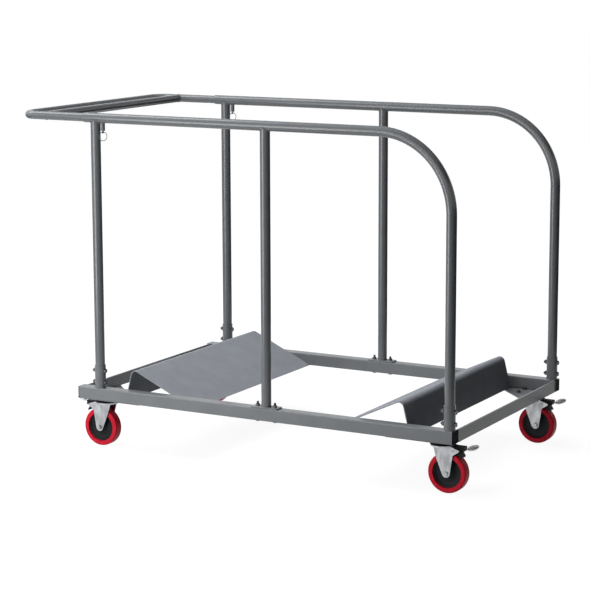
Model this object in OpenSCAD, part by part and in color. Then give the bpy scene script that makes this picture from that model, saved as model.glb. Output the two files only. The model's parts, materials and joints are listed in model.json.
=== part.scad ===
// Round table cart: a steel base on four braked swivel casters, two bent cradle plates for round tables
// that stand on edge, two bent side rails, and a push handle that slides in the rails and locks in them.
// X runs along the cart with the handle on the left, Y across it, and Z up from the floor.

/* [Base frame] */
// Length of the base over its end plugs
base_len = 1360; // [1200:5:1800]
// Width of the base over its two rails
base_w = 860; // [600:5:1100]
// Side of the square rail tube
tube_side = 40; // [38:1:50]
// Wall of the square rail tube
tube_wall = 2; // [1.5:0.5:2.5]
// Outer corner radius of the square rail tube
tube_corner = 3; // [2.6:0.2:5]
// Thickness of the flat cross bars
bar_t = 6; // [4:1:10]
// Distance from the left end of the base to the left cross bar
bar_left_inset = 10; // [0:1:20]
// Thickness of the flange on the rail end plugs
plug_flange = 3; // [2:0.5:5]
// Length of the rail end plugs inside the tube
plug_depth = 22; // [10:1:40]
// Leg of the corner gussets, from the outer corner of the base
gusset_leg = 244; // [232:2:300]
// Thickness of the corner gussets
gusset_t = 4; // [3:0.5:8]
// Distance from the faces of the base to the edges of the gussets
gusset_inset = 12; // [0:1:20]

/* [Table cradles] */
// Thickness of the cradle sheet
cradle_t = 3; // [2:0.5:5]
// Angle of the long slope from level
cradle_slope = 25; // [18:0.5:32]
// Angle of the short steep side from level
cradle_steep = 76; // [65:0.5:84]
// Outer radius of the bend at the ridge
cradle_bend_r = 18; // [8:1:30]
// Distance from the middle of the base to the foot of the long slope
cradle_foot_x = 253; // [200:2:320]
// Distance from the middle of the base to the foot of the steep side
cradle_heel_x = 520; // [460:2:560]

/* [Uprights and side rails] */
// Outer diameter of the rail and post tube
rail_od = 31.8; // [28:0.2:34]
// Wall of the rail and post tube
rail_wall = 2; // [1.5:0.1:3]
// Height of the side rail axis above the top of the base
rail_h = 890; // [700:10:1100]
// Bend radius of the side rail, at the tube axis
bend_r = 240; // [150:5:300]
// Distance from the left end of the base to the axis of the left posts
left_post_inset = 76; // [60:1:120]
// Distance from the middle of the base to the axis of the middle posts
mid_post_offset = 26; // [-100:2:100]
// Length of side rail past the axis of the left post
rail_overhang = 41; // [30:1:60]
// Height of the post sockets
socket_h = 76; // [60:1:120]
// Wall of the post sockets
socket_wall = 2; // [1.5:0.1:3]
// Clearance between a post and its socket, on the radius
socket_clear = 0.3; // [0.1:0.1:0.6]
// Height of the lower socket bolt above the base
socket_bolt_low = 19; // [14:1:24]
// Height of the upper socket bolt above the base
socket_bolt_high = 57; // [40:1:64]
// Length of the foot plates under the middle posts
foot_len = 95; // [84:1:140]
// Thickness of the foot plates
foot_t = 4; // [3:0.5:8]
// Pitch of the two bolts in a foot plate
foot_bolt_pitch = 62; // [54:1:68]

/* [Push handle] */
// Wall of the handle tube
handle_wall = 1.8; // [1.2:0.1:2.4]
// Clearance between the handle leg and the rail bore, on the radius
handle_clear = 0.3; // [0.2:0.1:0.6]
// Distance from the open end of the rails to the axis of the grip bar
handle_reach = 245; // [220:1:400]
// Distance from the open end of the rails to the axis of the handle's cross bar
handle_bar_gap = 154; // [130:1:170]
// Bend radius of the handle corners, at the tube axis
handle_bend_r = 50; // [40:1:80]
// Travel of the handle into the rails
handle_in = 100; // [50:50:100]
// Travel of the handle out of the rails
handle_out = 200; // [50:50:250]
// Pitch of the lock holes along the handle legs
lock_pitch = 50; // [25:25:50]
// Length of handle leg past its last lock hole
leg_tail = 60; // [40:5:100]

/* [Handle lock] */
// Distance from the left post axis to the plunger axis
plunger_offset = 28.5; // [25:0.5:40]
// Outer diameter of the plunger housing
housing_d = 14; // [13.6:0.2:16]
// Wall of the plunger housing
housing_wall = 1.5; // [1.2:0.1:1.6]
// Thickness of the closed end of the housing
housing_cap = 3; // [2:0.5:5]
// Diameter of the plunger pin's tip
pin_d = 8; // [6:0.2:8]
// Length of pin tip inside the handle tube
pin_bite = 2; // [1:0.5:4]
// Diameter of the plunger pin's stem
pin_stem_d = 5; // [4:0.2:6]
// Travel of the plunger pin
pin_travel = 8; // [7:0.5:10]
// Diameter of the spring wire
spring_wire = 1.2; // [0.8:0.1:1.4]
// Number of turns in the spring
spring_turns = 6; // [5:1:9]
// Mean radius of the pull ring
ring_r = 14; // [10:0.5:15]
// Diameter of the pull ring wire
ring_wire = 2.2; // [1.6:0.2:2.4]
// Turn of the pull ring from the X axis, seen from above
ring_yaw = 60; // [50:5:90]

/* [Casters] */
// Wheel diameter
wheel_d = 127; // [115:1:128]
// Wheel width at the tread
wheel_w = 33; // [28:1:34]
// Thickness of the tread on the radius
tread_t = 15.5; // [6:0.5:17]
// Height of the caster from the floor to the top of its plate
caster_h = 165; // [165:1:180]
// Distance from the base's end to a kingpin
caster_in_x = 66; // [64:1:90]
// Distance from the base's side to a kingpin
caster_in_y = 74; // [74:1:90]
// Distance from the kingpin to the axle
trail = 20; // [16:1:24]
// Length of a caster's top plate
plate_l = 100; // [96:1:110]
// Width of a caster's top plate
plate_w = 80; // [76:1:90]
// Thickness of a caster's top plate
plate_t = 3.5; // [3:0.5:6]
// Pitch of the plate bolts along X
plate_pitch_x = 80; // [78:1:88]
// Pitch of the plate bolts along Y
plate_pitch_y = 50; // [50:1:54]
// Thickness of the fork's sheet
fork_t = 3; // [2.5:0.5:4]
// Gap between the fork's legs
fork_gap = 38; // [38:1:42]
// Radius of the leg's round end, about the axle
leg_end_r = 13; // [12:0.5:16]
// Diameter of the kingpin
kingpin_d = 12; // [10:0.5:14]
// Pitch radius of the ring of balls
ball_ring_r = 29.5; // [28:0.5:30]
// Ball diameter
ball_d = 8.4; // [7.8:0.2:8.8]
// Number of balls in a swivel
ball_count = 18; // [12:1:20]
// Outer diameter of the axle's spacer sleeve
sleeve_d = 12; // [11:0.5:16]
// Reach of the brake pedal from the kingpin
pedal_reach = 121; // [112:1:140]
// Width of the pedal leaf
pedal_w = 27; // [22:1:28]
// Rise of the pedal above level, in degrees
pedal_tilt = 13; // [6:1:16]
// Turn of the brake lever from free to locked, in degrees
brake_turn = 12; // [8:1:14]

/* [Fasteners] */
// Diameter of the bolts
bolt_d = 8; // [6:1:8]
// Width across the flats of heads and nuts
bolt_af = 13; // [11:0.5:13]
// Height of a bolt head
bolt_head_h = 5.3; // [4:0.1:6]
// Height of a nut
nut_h = 6.5; // [5:0.1:7]
// Length of bolt that shows past its nut
bolt_tail = 4; // [1:0.5:8]
// Clearance of a bolt in its hole, on the radius
bolt_clear = 0.3; // [0.1:0.1:0.5]

/* [Hidden] */

$fn = 64;
near = -1;
far = 1;
left = -1;
right = 1;

// How far a cut runs past the face that it opens
cut_over = 1;
// Seat left between two pieces that move against each other
seat_clear = 0.3;
// Running fit of a pin or sleeve in its bore, on the radius
run_clear = 0.08;

steel_grey = [0.42, 0.44, 0.45];
sheet_grey = [0.36, 0.37, 0.39];
zinc = [0.75, 0.76, 0.78];
plastic_black = [0.08, 0.08, 0.09];
tread_red = [0.72, 0.13, 0.16];

// Tube sizes that follow from each other
rail_r = rail_od / 2;
rail_bore_r = rail_r - rail_wall;
handle_r = rail_bore_r - handle_clear;
socket_r = rail_r + socket_clear + socket_wall;

// Heights
rail_bottom_z = caster_h + gusset_t;
base_top_z = rail_bottom_z + tube_side;
rail_axis_z = base_top_z + rail_h;

// Places along X, first from the middle of the base
left_post_rel = left_post_inset - base_len / 2;
rail_end_rel = left_post_rel - rail_overhang;
grip_rel = rail_end_rel - handle_reach;
kingpin_rel = base_len / 2 - caster_in_x;
leftmost_rel = grip_rel - handle_r;
rightmost_rel = kingpin_rel + pedal_reach;
// The middle of the base, with the origin under the middle of the whole cart
base_x = -(leftmost_rel + rightmost_rel) / 2;
base_left_x = base_x - base_len / 2;
base_right_x = base_x + base_len / 2;
left_post_x = base_x + left_post_rel;
mid_post_x = base_x + mid_post_offset;
right_post_x = base_right_x - tube_side / 2;
rail_end_x = base_x + rail_end_rel;
grip_x = base_x + grip_rel;
cross_tube_x = rail_end_x - handle_bar_gap;
plunger_x = left_post_x + plunger_offset;

// Places along Y
rail_y = base_w / 2 - tube_side / 2;
inner_y = base_w / 2 - tube_side;

// Cradle profile, from the middle of the base and the underside of the rails
ridge_x = (cradle_heel_x * tan(cradle_steep) + cradle_foot_x * tan(cradle_slope))
    / (tan(cradle_steep) + tan(cradle_slope));
ridge_z = (ridge_x - cradle_foot_x) * tan(cradle_slope);
ridge_half_angle = (180 - cradle_slope - cradle_steep) / 2;
ridge_down_angle = 270 + (cradle_slope - cradle_steep) / 2;
bend_centre = [ridge_x, ridge_z] + cradle_bend_r / sin(ridge_half_angle)
    * [cos(ridge_down_angle), sin(ridge_down_angle)];
bend_steps = 20;

// Handle lock, measured from the rail axis
pin_tip_z = -(handle_r - handle_wall - pin_bite);
collar_top_z = -(rail_r + seat_clear);
collar_t = 3;
collar_r = housing_d / 2 - housing_wall - seat_clear;
spring_top_z = collar_top_z - collar_t - seat_clear;
// Room below the spring when the pin is pulled all the way and the turns touch
spring_slack = 1.5;
spring_solid_h = (spring_turns + 1) * spring_wire;
spring_floor_z = spring_top_z - pin_travel - spring_solid_h - spring_slack;
chamber_floor_z = spring_floor_z - seat_clear;
housing_bottom_z = chamber_floor_z - housing_cap;
spring_r = pin_stem_d / 2 + spring_wire / 2 + 1.4;
eye_r = 4;
eye_t = 3.4;
eye_gap = 0.6;
eye_z = housing_bottom_z - eye_gap - eye_r;
ring_clear = 0.4;
lock_clear = 0.5;
lock_holes = [for (d = [-handle_in : lock_pitch : handle_out]) plunger_x + d];
leg_end_x = plunger_x + handle_out + leg_tail;

// Caster, measured from the kingpin axis and the floor
plate_bottom_z = caster_h - plate_t;
race_t = 3;
ball_z = plate_bottom_z - race_t - ball_d / 2 + 0.7;
crown_race_z = ball_z - ball_d / 2 + 0.7;
crown_top_z = crown_race_z - race_t;
crown_bottom_z = crown_top_z - fork_t;
race_in_r = ball_ring_r - 5.5;
race_out_r = ball_ring_r + 5.5;
skirt_in_r = race_out_r + 1;
skirt_r = skirt_in_r + 2.5;
skirt_top_z = plate_bottom_z - 4;
wheel_r = wheel_d / 2;
axle_z = wheel_r;
axle = [trail, axle_z];
hub_r = wheel_r - tread_t;
leg_y = fork_gap / 2;
leg_out_y = leg_y + fork_t;
boss_r = 19;
boss_half = leg_y - 0.5;

// Corners of the fork leg: front edge, then the horn that carries the brake
leg_front_top = [-24, crown_top_z];
leg_front_shoulder = [-22, crown_top_z - 7];
leg_front_knee = [-13, axle_z + 46];
leg_back_knee = [42, axle_z + 58];
horn_low = [60, axle_z + 69.5];
horn_tip = [64.5, axle_z + 74];
horn_high = [61, axle_z + 77];
leg_back_top = [42, crown_top_z - 2];
leg_back_crown = [36, crown_top_z];

// Brake lever: a boss between the fork's legs, a block with the pedal's stem in it, and a shoe
pivot = [42, axle_z + 72];
brake_pin_d = 5;
brake_pin_head = 8.5;
brake_pin_head_h = 1.6;
boss_half_w = leg_y - 0.4;
pivot_boss_r = 7;
lever_half_w = wheel_w / 2 - 3;
lever_top_z = crown_top_z + 0.5;
lever_end_x = 75;
shoe_clear = 0.4;
shoe_top = [62, axle_z + 68];
shoe_heel = [70.5, axle_z + 55];
shoe_toe = [69, axle_z + 48];

// Pedal, measured along its own rising line from the end of the lever
stem_d = 5;
stem_z = axle_z + 76;
stem_in = 8;
stem_lap = 8;
leaf_start = 14;
leaf_neck = 13;
leaf_t = 1.8;
leaf_curve_r = pedal_w / 2 + leaf_t + 1;
leaf_tip = (pedal_reach - lever_end_x - stem_d / 2 * sin(pedal_tilt)) / cos(pedal_tilt);

// Point where a line from p touches the circle of radius r about c, on the side s
function touch(p, c, r, s) =
    let (a = atan2(p.y - c.y, p.x - c.x), b = acos(r / norm(p - c)))
    [c.x + r * cos(a + s * b), c.y + r * sin(a + s * b)];

// Square with round corners
module round_square(side, r) {
    square([side - 2 * r, side], center = true);
    square([side, side - 2 * r], center = true);
    for (sx = [-1, 1], sy = [-1, 1])
        translate([sx * (side / 2 - r), sy * (side / 2 - r)]) circle(r = r);
}

// Plate of length l along X and width w along Y, with round corners
module round_plate(l, w, t, r) {
    linear_extrude(t) {
        square([l - 2 * r, w], center = true);
        square([l, w - 2 * r], center = true);
        for (sx = [-1, 1], sy = [-1, 1])
            translate([sx * (l / 2 - r), sy * (w / 2 - r)]) circle(r = r);
    }
}

// Wall of a round tube, seen end on
module ring(r, wall) {
    difference() {
        circle(r = r);
        circle(r = r - wall);
    }
}

// Straight round tube along X
module tube_x(l, r, wall) {
    rotate([90, 0, 90]) linear_extrude(l) ring(r, wall);
}

// Solid rod along X, for holes and copes
module rod_x(l, r) {
    rotate([0, 90, 0]) cylinder(h = l, r = r);
}

// Solid rod across the caster, centred on y = 0, at a point given along X and Z
module cross_rod(at, half, r) {
    translate([at.x, half, at.y]) rotate([90, 0, 0]) cylinder(h = 2 * half, r = r);
}

// Hexagonal head or nut, standing on Z = 0
module hex(h) {
    cylinder(h = h, d = bolt_af / cos(30), $fn = 6);
}

// Nut with its bore
module nut() {
    difference() {
        hex(nut_h);
        translate([0, 0, -cut_over]) cylinder(h = nut_h + 2 * cut_over, d = bolt_d);
    }
}

// Bolt with its head below Z = 0 and its shank up to z
module bolt(z) {
    translate([0, 0, -bolt_head_h]) hex(bolt_head_h);
    cylinder(h = z, d = bolt_d);
}

// Places of the four post sockets
module at_sockets() {
    for (x = [left_post_x, right_post_x], side = [near, far])
        translate([x, side * rail_y, base_top_z]) children();
}

// The two cross bolt holes of a socket, from the socket's foot
module at_socket_bolts() {
    for (z = [socket_bolt_low, socket_bolt_high])
        translate([0, 0, z]) children();
}

module socket_bolt_holes(x) {
    hole_half = socket_r + cut_over;
    translate([x - hole_half, 0, base_top_z])
        at_socket_bolts() rod_x(2 * hole_half, bolt_d / 2 + bolt_clear);
}

// Places of the foot plate bolts on one side of the cart
module at_foot_bolts(side) {
    for (s = [-1, 1])
        translate([mid_post_x + s * foot_bolt_pitch / 2, side * rail_y, 0]) children();
}

module base_rail(side) {
    color(steel_grey) difference() {
        translate([base_left_x + plug_flange, side * rail_y, rail_bottom_z + tube_side / 2])
            rotate([90, 0, 90]) linear_extrude(base_len - 2 * plug_flange) difference() {
                round_square(tube_side, tube_corner);
                round_square(tube_side - 2 * tube_wall, tube_corner - tube_wall);
            }
        at_foot_bolts(side) translate([0, 0, rail_bottom_z - cut_over])
            cylinder(h = tube_side + 2 * cut_over, r = bolt_d / 2 + bolt_clear);
    }
}

module cross_bar(x) {
    color(steel_grey) translate([x, -inner_y, rail_bottom_z]) cube([bar_t, 2 * inner_y, tube_side]);
}

module rail_end_plugs() {
    plug_side = tube_side - 2 * tube_wall;
    hollow_side = plug_side - 6;
    color(plastic_black) for (end = [left, right], side = [near, far])
        translate([base_x + end * base_len / 2, side * rail_y, rail_bottom_z + tube_side / 2])
            rotate([90, 0, end == right ? -90 : 90]) {
                linear_extrude(plug_flange) round_square(tube_side, tube_corner);
                translate([0, 0, plug_flange]) linear_extrude(plug_depth) difference() {
                    round_square(plug_side, tube_corner - tube_wall);
                    square([hollow_side, hollow_side], center = true);
                }
            }
}

// Places of the four kingpins, with the pedal side of each caster along +X
module at_caster(end, side) {
    translate([base_x + end * kingpin_rel, side * (base_w / 2 - caster_in_y), 0])
        rotate([0, 0, end == right ? 0 : 180]) children();
}

module at_casters() {
    for (end = [left, right], side = [near, far]) at_caster(end, side) children();
}

module at_plate_bolts() {
    for (sx = [-1, 1], sy = [-1, 1])
        translate([sx * plate_pitch_x / 2, sy * plate_pitch_y / 2, 0]) children();
}

module corner_gussets() {
    color(steel_grey) difference() {
        for (end = [left, right], side = [near, far])
            translate([base_x + end * base_len / 2, side * base_w / 2, caster_h])
                linear_extrude(gusset_t) polygon([
                    [-end * gusset_inset, -side * gusset_inset],
                    [-end * (gusset_leg - gusset_inset), -side * gusset_inset],
                    [-end * gusset_inset, -side * (gusset_leg - gusset_inset)]
                ]);
        at_casters() at_plate_bolts() translate([0, 0, caster_h - cut_over])
            cylinder(h = gusset_t + 2 * cut_over, r = bolt_d / 2 + bolt_clear);
    }
}

// Points along an arc about c
function arc_points(c, r, from, to, steps) =
    [for (i = [0 : steps]) let (a = from + (to - from) * i / steps) c + r * [cos(a), sin(a)]];

// Half of the cradle's outline, at radius r of the bend: foot of the slope, bend, foot of the steep side
function cradle_line(r) =
    let (bend = arc_points(bend_centre, r, 90 + cradle_slope, 90 - cradle_steep, bend_steps),
         first = bend[0], last = bend[bend_steps])
    concat(
        [[first.x - first.y / tan(cradle_slope), 0]], bend, [[last.x + last.y / tan(cradle_steep), 0]]
    );

// Bent cradle plate: the long slope faces the middle of the cart, then the bend at the ridge and the steep
// side. Its feet are cut off level.
module cradle_plate(end) {
    inner_line = cradle_line(cradle_bend_r - cradle_t);
    color(sheet_grey) translate([base_x, inner_y, rail_bottom_z]) mirror([end == right ? 0 : 1, 0, 0])
        rotate([90, 0, 0]) linear_extrude(2 * inner_y) polygon(concat(
            cradle_line(cradle_bend_r), [for (i = [len(inner_line) - 1 : -1 : 0]) inner_line[i]]
        ));
}

module post_sockets() {
    color(steel_grey) difference() {
        at_sockets() linear_extrude(socket_h) ring(socket_r, socket_wall);
        for (x = [left_post_x, right_post_x], side = [near, far])
            translate([0, side * rail_y, 0]) socket_bolt_holes(x);
    }
}

module socket_bolts() {
    shank = 2 * socket_r + nut_h + bolt_tail;
    color(zinc) at_sockets() at_socket_bolts()
        translate([socket_r, 0, 0]) rotate([0, -90, 0]) bolt(shank);
}

module socket_nuts() {
    color(zinc) at_sockets() at_socket_bolts()
        translate([-socket_r - nut_h, 0, 0]) rotate([0, 90, 0]) nut();
}

// Side rail and right upright in one bent tube
module side_rail(side) {
    bend_x = right_post_x - bend_r;
    bend_z = rail_axis_z - bend_r;
    lock_hole_r = pin_d / 2 + seat_clear;
    color(steel_grey) translate([0, side * rail_y, 0]) difference() {
        union() {
            translate([rail_end_x, 0, rail_axis_z]) tube_x(bend_x - rail_end_x, rail_r, rail_wall);
            translate([bend_x, 0, bend_z]) rotate([90, 0, 0]) rotate_extrude(angle = 90, $fn = 96)
                translate([bend_r, 0]) ring(rail_r, rail_wall);
            translate([right_post_x, 0, base_top_z]) linear_extrude(bend_z - base_top_z)
                ring(rail_r, rail_wall);
        }
        socket_bolt_holes(right_post_x);
        translate([plunger_x, 0, rail_axis_z - rail_r - cut_over])
            cylinder(h = rail_r + cut_over, r = lock_hole_r);
    }
}

// Upright whose top is coped to the underside of the side rail
module coped_post(x, side, foot_z) {
    top_z = rail_axis_z - rail_r / 2;
    translate([x, side * rail_y, 0]) difference() {
        translate([0, 0, foot_z]) linear_extrude(top_z - foot_z) ring(rail_r, rail_wall);
        translate([-rail_od, 0, rail_axis_z]) rod_x(2 * rail_od, rail_r);
    }
}

module left_post(side) {
    color(steel_grey) difference() {
        coped_post(left_post_x, side, base_top_z);
        translate([0, side * rail_y, 0]) socket_bolt_holes(left_post_x);
    }
}

module mid_post(side) {
    color(steel_grey) coped_post(mid_post_x, side, base_top_z + foot_t);
}

module mid_post_feet() {
    foot_w = tube_side - 2;
    foot_corner = 4;
    color(steel_grey) for (side = [near, far]) difference() {
        translate([mid_post_x, side * rail_y, base_top_z]) round_plate(foot_len, foot_w, foot_t, foot_corner);
        at_foot_bolts(side) translate([0, 0, base_top_z - cut_over])
            cylinder(h = foot_t + 2 * cut_over, r = bolt_d / 2 + bolt_clear);
    }
}

module foot_bolts() {
    tail = 2 * bolt_tail;
    color(zinc) for (side = [near, far]) at_foot_bolts(side)
        translate([0, 0, rail_bottom_z]) bolt(tube_side + foot_t + nut_h + tail);
}

module foot_nuts() {
    color(zinc) for (side = [near, far]) at_foot_bolts(side)
        translate([0, 0, base_top_z + foot_t]) nut();
}

// Places of the two plungers, on the rail axis above each
module at_plunger(side) {
    translate([plunger_x, side * rail_y, rail_axis_z]) children();
}

module plunger_housings() {
    color(steel_grey) for (side = [near, far]) at_plunger(side) difference() {
        translate([0, 0, housing_bottom_z])
            cylinder(h = -rail_r / 2 - housing_bottom_z, d = housing_d);
        translate([-housing_d, 0, 0]) rod_x(2 * housing_d, rail_r);
        translate([0, 0, chamber_floor_z])
            cylinder(h = -chamber_floor_z, r = housing_d / 2 - housing_wall);
        translate([0, 0, housing_bottom_z - cut_over])
            cylinder(h = housing_cap + 2 * cut_over, r = pin_stem_d / 2 + seat_clear);
    }
}

// Coil spring from z_low to z_high: a six-sided wire swept along a helix
module coil_spring(z_low, z_high, r, wire, turns) {
    sides = 6;
    steps_per_turn = 10;
    steps = turns * steps_per_turn;
    rise = (z_high - z_low - wire) / steps;
    points = [
        for (i = [0 : steps], k = [0 : sides - 1])
            let (a = 360 * i / steps_per_turn, b = 360 * k / sides,
                 out = r + wire / 2 * cos(b), up = z_low + wire / 2 + i * rise + wire / 2 * sin(b))
            [out * cos(a), out * sin(a), up]
    ];
    walls = [
        for (i = [0 : steps - 1], k = [0 : sides - 1], upper = [0, 1])
            let (a = i * sides + k, b = i * sides + (k + 1) % sides)
            upper == 1 ? [a, b, b + sides] : [a, b + sides, a + sides]
    ];
    first_end = [for (k = [1 : sides - 2]) [0, k + 1, k]];
    last = steps * sides;
    last_end = [for (k = [1 : sides - 2]) [last, last + k, last + k + 1]];
    polyhedron(points = points, faces = concat(walls, first_end, last_end), convexity = 10);
}

module plunger_spring(side) {
    color(zinc) at_plunger(side)
        coil_spring(spring_floor_z, spring_top_z, spring_r, spring_wire, spring_turns);
}

// Pin that locks the handle: tip, collar under the rail, stem through the housing, and an eye
module plunger_pin(side) {
    tip_chamfer = 1;
    stem_top_z = collar_top_z - collar_t;
    color(zinc) at_plunger(side) difference() {
        union() {
            translate([0, 0, collar_top_z])
                cylinder(h = pin_tip_z - collar_top_z - tip_chamfer, d = pin_d);
            translate([0, 0, pin_tip_z - tip_chamfer])
                cylinder(h = tip_chamfer, d1 = pin_d, d2 = pin_d - 2 * tip_chamfer);
            translate([0, 0, stem_top_z]) cylinder(h = collar_t, r = collar_r);
            translate([0, 0, eye_z]) cylinder(h = stem_top_z - eye_z, d = pin_stem_d);
            translate([0, 0, eye_z]) rotate([0, 0, ring_yaw]) translate([-eye_t / 2, 0, 0])
                rod_x(eye_t, eye_r);
        }
        translate([0, 0, eye_z]) rotate([0, 0, ring_yaw]) translate([-pin_d, 0, 0])
            rod_x(2 * pin_d, ring_wire / 2 + ring_clear);
    }
}

module pull_ring(side) {
    color(zinc) at_plunger(side) translate([0, 0, eye_z - ring_r]) rotate([90, 0, ring_yaw])
        rotate_extrude() translate([ring_r, 0]) circle(d = ring_wire);
}

// Handle: two legs, two round corners and the grip bar, with lock holes under the legs
module handle_loop() {
    corner_x = grip_x + handle_bend_r;
    corner_y = rail_y - handle_bend_r;
    color(steel_grey) translate([0, 0, rail_axis_z]) difference() {
        union() {
            for (side = [near, far])
                translate([corner_x, side * rail_y, 0]) tube_x(leg_end_x - corner_x, handle_r, handle_wall);
            for (side = [near, far])
                translate([corner_x, side * corner_y, 0]) rotate([0, 0, side == far ? 90 : 180])
                    rotate_extrude(angle = 90) translate([handle_bend_r, 0]) ring(handle_r, handle_wall);
            translate([grip_x, corner_y, 0]) rotate([90, 0, 0])
                linear_extrude(2 * corner_y) ring(handle_r, handle_wall);
        }
        for (x = lock_holes, side = [near, far])
            translate([x, side * rail_y, -handle_r - cut_over])
                cylinder(h = handle_r + cut_over, r = pin_d / 2 + lock_clear);
    }
}

// Cross bar of the handle, with its ends coped to the legs
module handle_cross_bar() {
    color(steel_grey) translate([cross_tube_x, 0, rail_axis_z]) difference() {
        translate([0, rail_y, 0]) rotate([90, 0, 0]) linear_extrude(2 * rail_y) ring(handle_r, handle_wall);
        for (side = [near, far])
            translate([-2 * handle_r, side * rail_y, 0]) rod_x(4 * handle_r, handle_r);
    }
}

// Groove that the balls run in
module ball_groove() {
    translate([0, 0, ball_z]) rotate_extrude() translate([ball_ring_r, 0])
        circle(r = ball_d / 2 + seat_clear);
}

// Top plate with its upper ball race pressed down and a countersink for the kingpin
module caster_plates() {
    plate_corner = 8;
    countersink = plate_t;
    color(zinc) at_casters() difference() {
        union() {
            translate([0, 0, plate_bottom_z]) round_plate(plate_l, plate_w, plate_t, plate_corner);
            translate([0, 0, plate_bottom_z - race_t]) cylinder(h = race_t, r = race_out_r);
        }
        translate([0, 0, plate_bottom_z - race_t - cut_over])
            cylinder(h = race_t + cut_over, r = race_in_r);
        ball_groove();
        translate([0, 0, plate_bottom_z - cut_over]) cylinder(h = plate_t + 2 * cut_over, d = kingpin_d);
        translate([0, 0, plate_bottom_z])
            cylinder(h = countersink, d1 = kingpin_d, d2 = kingpin_d + 2 * countersink);
        at_plate_bolts() translate([0, 0, plate_bottom_z - cut_over])
            cylinder(h = plate_t + 2 * cut_over, r = bolt_d / 2 + bolt_clear);
    }
}

// Kingpin with a countersunk head in the plate and a riveted collar under the fork's crown
module kingpins() {
    collar_h = 5;
    collar_top = crown_bottom_z - seat_clear;
    color(zinc) at_casters() {
        translate([0, 0, plate_bottom_z]) cylinder(h = plate_t, d1 = kingpin_d, d2 = kingpin_d + 2 * plate_t);
        translate([0, 0, collar_top]) cylinder(h = plate_bottom_z - collar_top, d = kingpin_d);
        translate([0, 0, collar_top - collar_h]) cylinder(h = collar_h, d1 = kingpin_d, d2 = kingpin_d * 1.7);
    }
}

module swivel_balls() {
    color(zinc) at_casters() for (i = [0 : ball_count - 1])
        rotate([0, 0, 360 * i / ball_count]) translate([ball_ring_r, 0, ball_z]) sphere(d = ball_d);
}

module caster_bolts() {
    color(zinc) at_casters() at_plate_bolts()
        translate([0, 0, plate_bottom_z]) bolt(plate_t + gusset_t + nut_h + bolt_tail / 2);
}

module caster_nuts() {
    color(zinc) at_casters() at_plate_bolts() translate([0, 0, rail_bottom_z]) nut();
}

// Outline of one fork leg, with the round end about the axle and the horn for the brake
module leg_outline() {
    polygon([
        leg_front_top, leg_front_shoulder, leg_front_knee, touch(leg_front_knee, axle, leg_end_r, 1), axle,
        touch(leg_back_knee, axle, leg_end_r, -1), leg_back_knee, horn_low, horn_tip, horn_high,
        leg_back_top, leg_back_crown
    ]);
    translate(axle) circle(r = leg_end_r);
}

// Pressed fork: crown with the lower ball race and its skirt, and two legs
module fork(end, side) {
    color(zinc) at_caster(end, side) difference() {
        union() {
            translate([0, 0, crown_bottom_z]) cylinder(h = fork_t, r = skirt_r);
            translate([0, 0, crown_top_z]) cylinder(h = crown_race_z - crown_top_z, r = race_out_r);
            translate([0, 0, crown_top_z]) linear_extrude(skirt_top_z - crown_top_z)
                ring(skirt_r, skirt_r - skirt_in_r);
            for (y = [-leg_y, leg_out_y])
                translate([0, y, 0]) rotate([90, 0, 0]) linear_extrude(fork_t) leg_outline();
        }
        translate([0, 0, crown_top_z]) cylinder(h = race_t + cut_over, r = race_in_r);
        ball_groove();
        translate([0, 0, crown_bottom_z - cut_over])
            cylinder(h = fork_t + 2 * cut_over, r = kingpin_d / 2 + run_clear);
        cross_rod(axle, leg_out_y + cut_over, bolt_d / 2 + run_clear);
        cross_rod(pivot, leg_out_y + cut_over, brake_pin_d / 2 + run_clear);
    }
}

// Axle bolt, spacer sleeve, lock nut, and the rivet that the brake lever turns on
module axle_set(end, side) {
    sleeve_half = leg_y - 0.1;
    shank = 2 * leg_out_y + nut_h + bolt_tail / 2;
    color(zinc) at_caster(end, side) {
        translate([trail, -leg_out_y, axle_z]) rotate([-90, 0, 0]) bolt(shank);
        translate([trail, leg_out_y, axle_z]) rotate([-90, 0, 0]) nut();
        translate([trail, sleeve_half, axle_z]) rotate([90, 0, 0]) linear_extrude(2 * sleeve_half)
            ring(sleeve_d / 2, (sleeve_d - bolt_d) / 2 - run_clear);
        cross_rod(pivot, leg_out_y, brake_pin_d / 2);
        for (s = [-1, 1]) translate([pivot.x, s * leg_out_y, pivot.y]) rotate([-90 * s, 0, 0])
            cylinder(h = brake_pin_head_h, d1 = brake_pin_head, d2 = brake_pin_head - brake_pin_head_h);
    }
}

// Half section of the hub, as radius and distance along the axle
module hub_section() {
    bore_r = sleeve_d / 2 + run_clear;
    rim_half = wheel_w / 2 - 2;
    rim_in_r = hub_r - 6;
    web_half = 5;
    difference() {
        union() {
            translate([bore_r, -boss_half]) square([boss_r - bore_r, 2 * boss_half]);
            translate([boss_r - cut_over, -web_half])
                square([rim_in_r - boss_r + 2 * cut_over, 2 * web_half]);
            translate([rim_in_r, -rim_half]) square([hub_r - rim_in_r, 2 * rim_half]);
        }
        for (s = [-1, 1]) translate([(boss_r + rim_in_r) / 2, s * (web_half + 30)]) circle(r = 31);
    }
}

module wheel_hub(end, side) {
    color(plastic_black) at_caster(end, side)
        translate([trail, 0, axle_z]) rotate([90, 0, 0]) rotate_extrude($fn = 96) hub_section();
}

module wheel_tread(end, side) {
    tread_corner = 5;
    half = wheel_w / 2;
    color(tread_red) at_caster(end, side)
        translate([trail, 0, axle_z]) rotate([90, 0, 0]) rotate_extrude($fn = 96) {
            translate([hub_r, -half]) square([tread_t - tread_corner, wheel_w]);
            translate([hub_r, -half + tread_corner]) square([tread_t, wheel_w - 2 * tread_corner]);
            for (s = [-1, 1])
                translate([wheel_r - tread_corner, s * (half - tread_corner)]) circle(r = tread_corner);
        }
}

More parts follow.
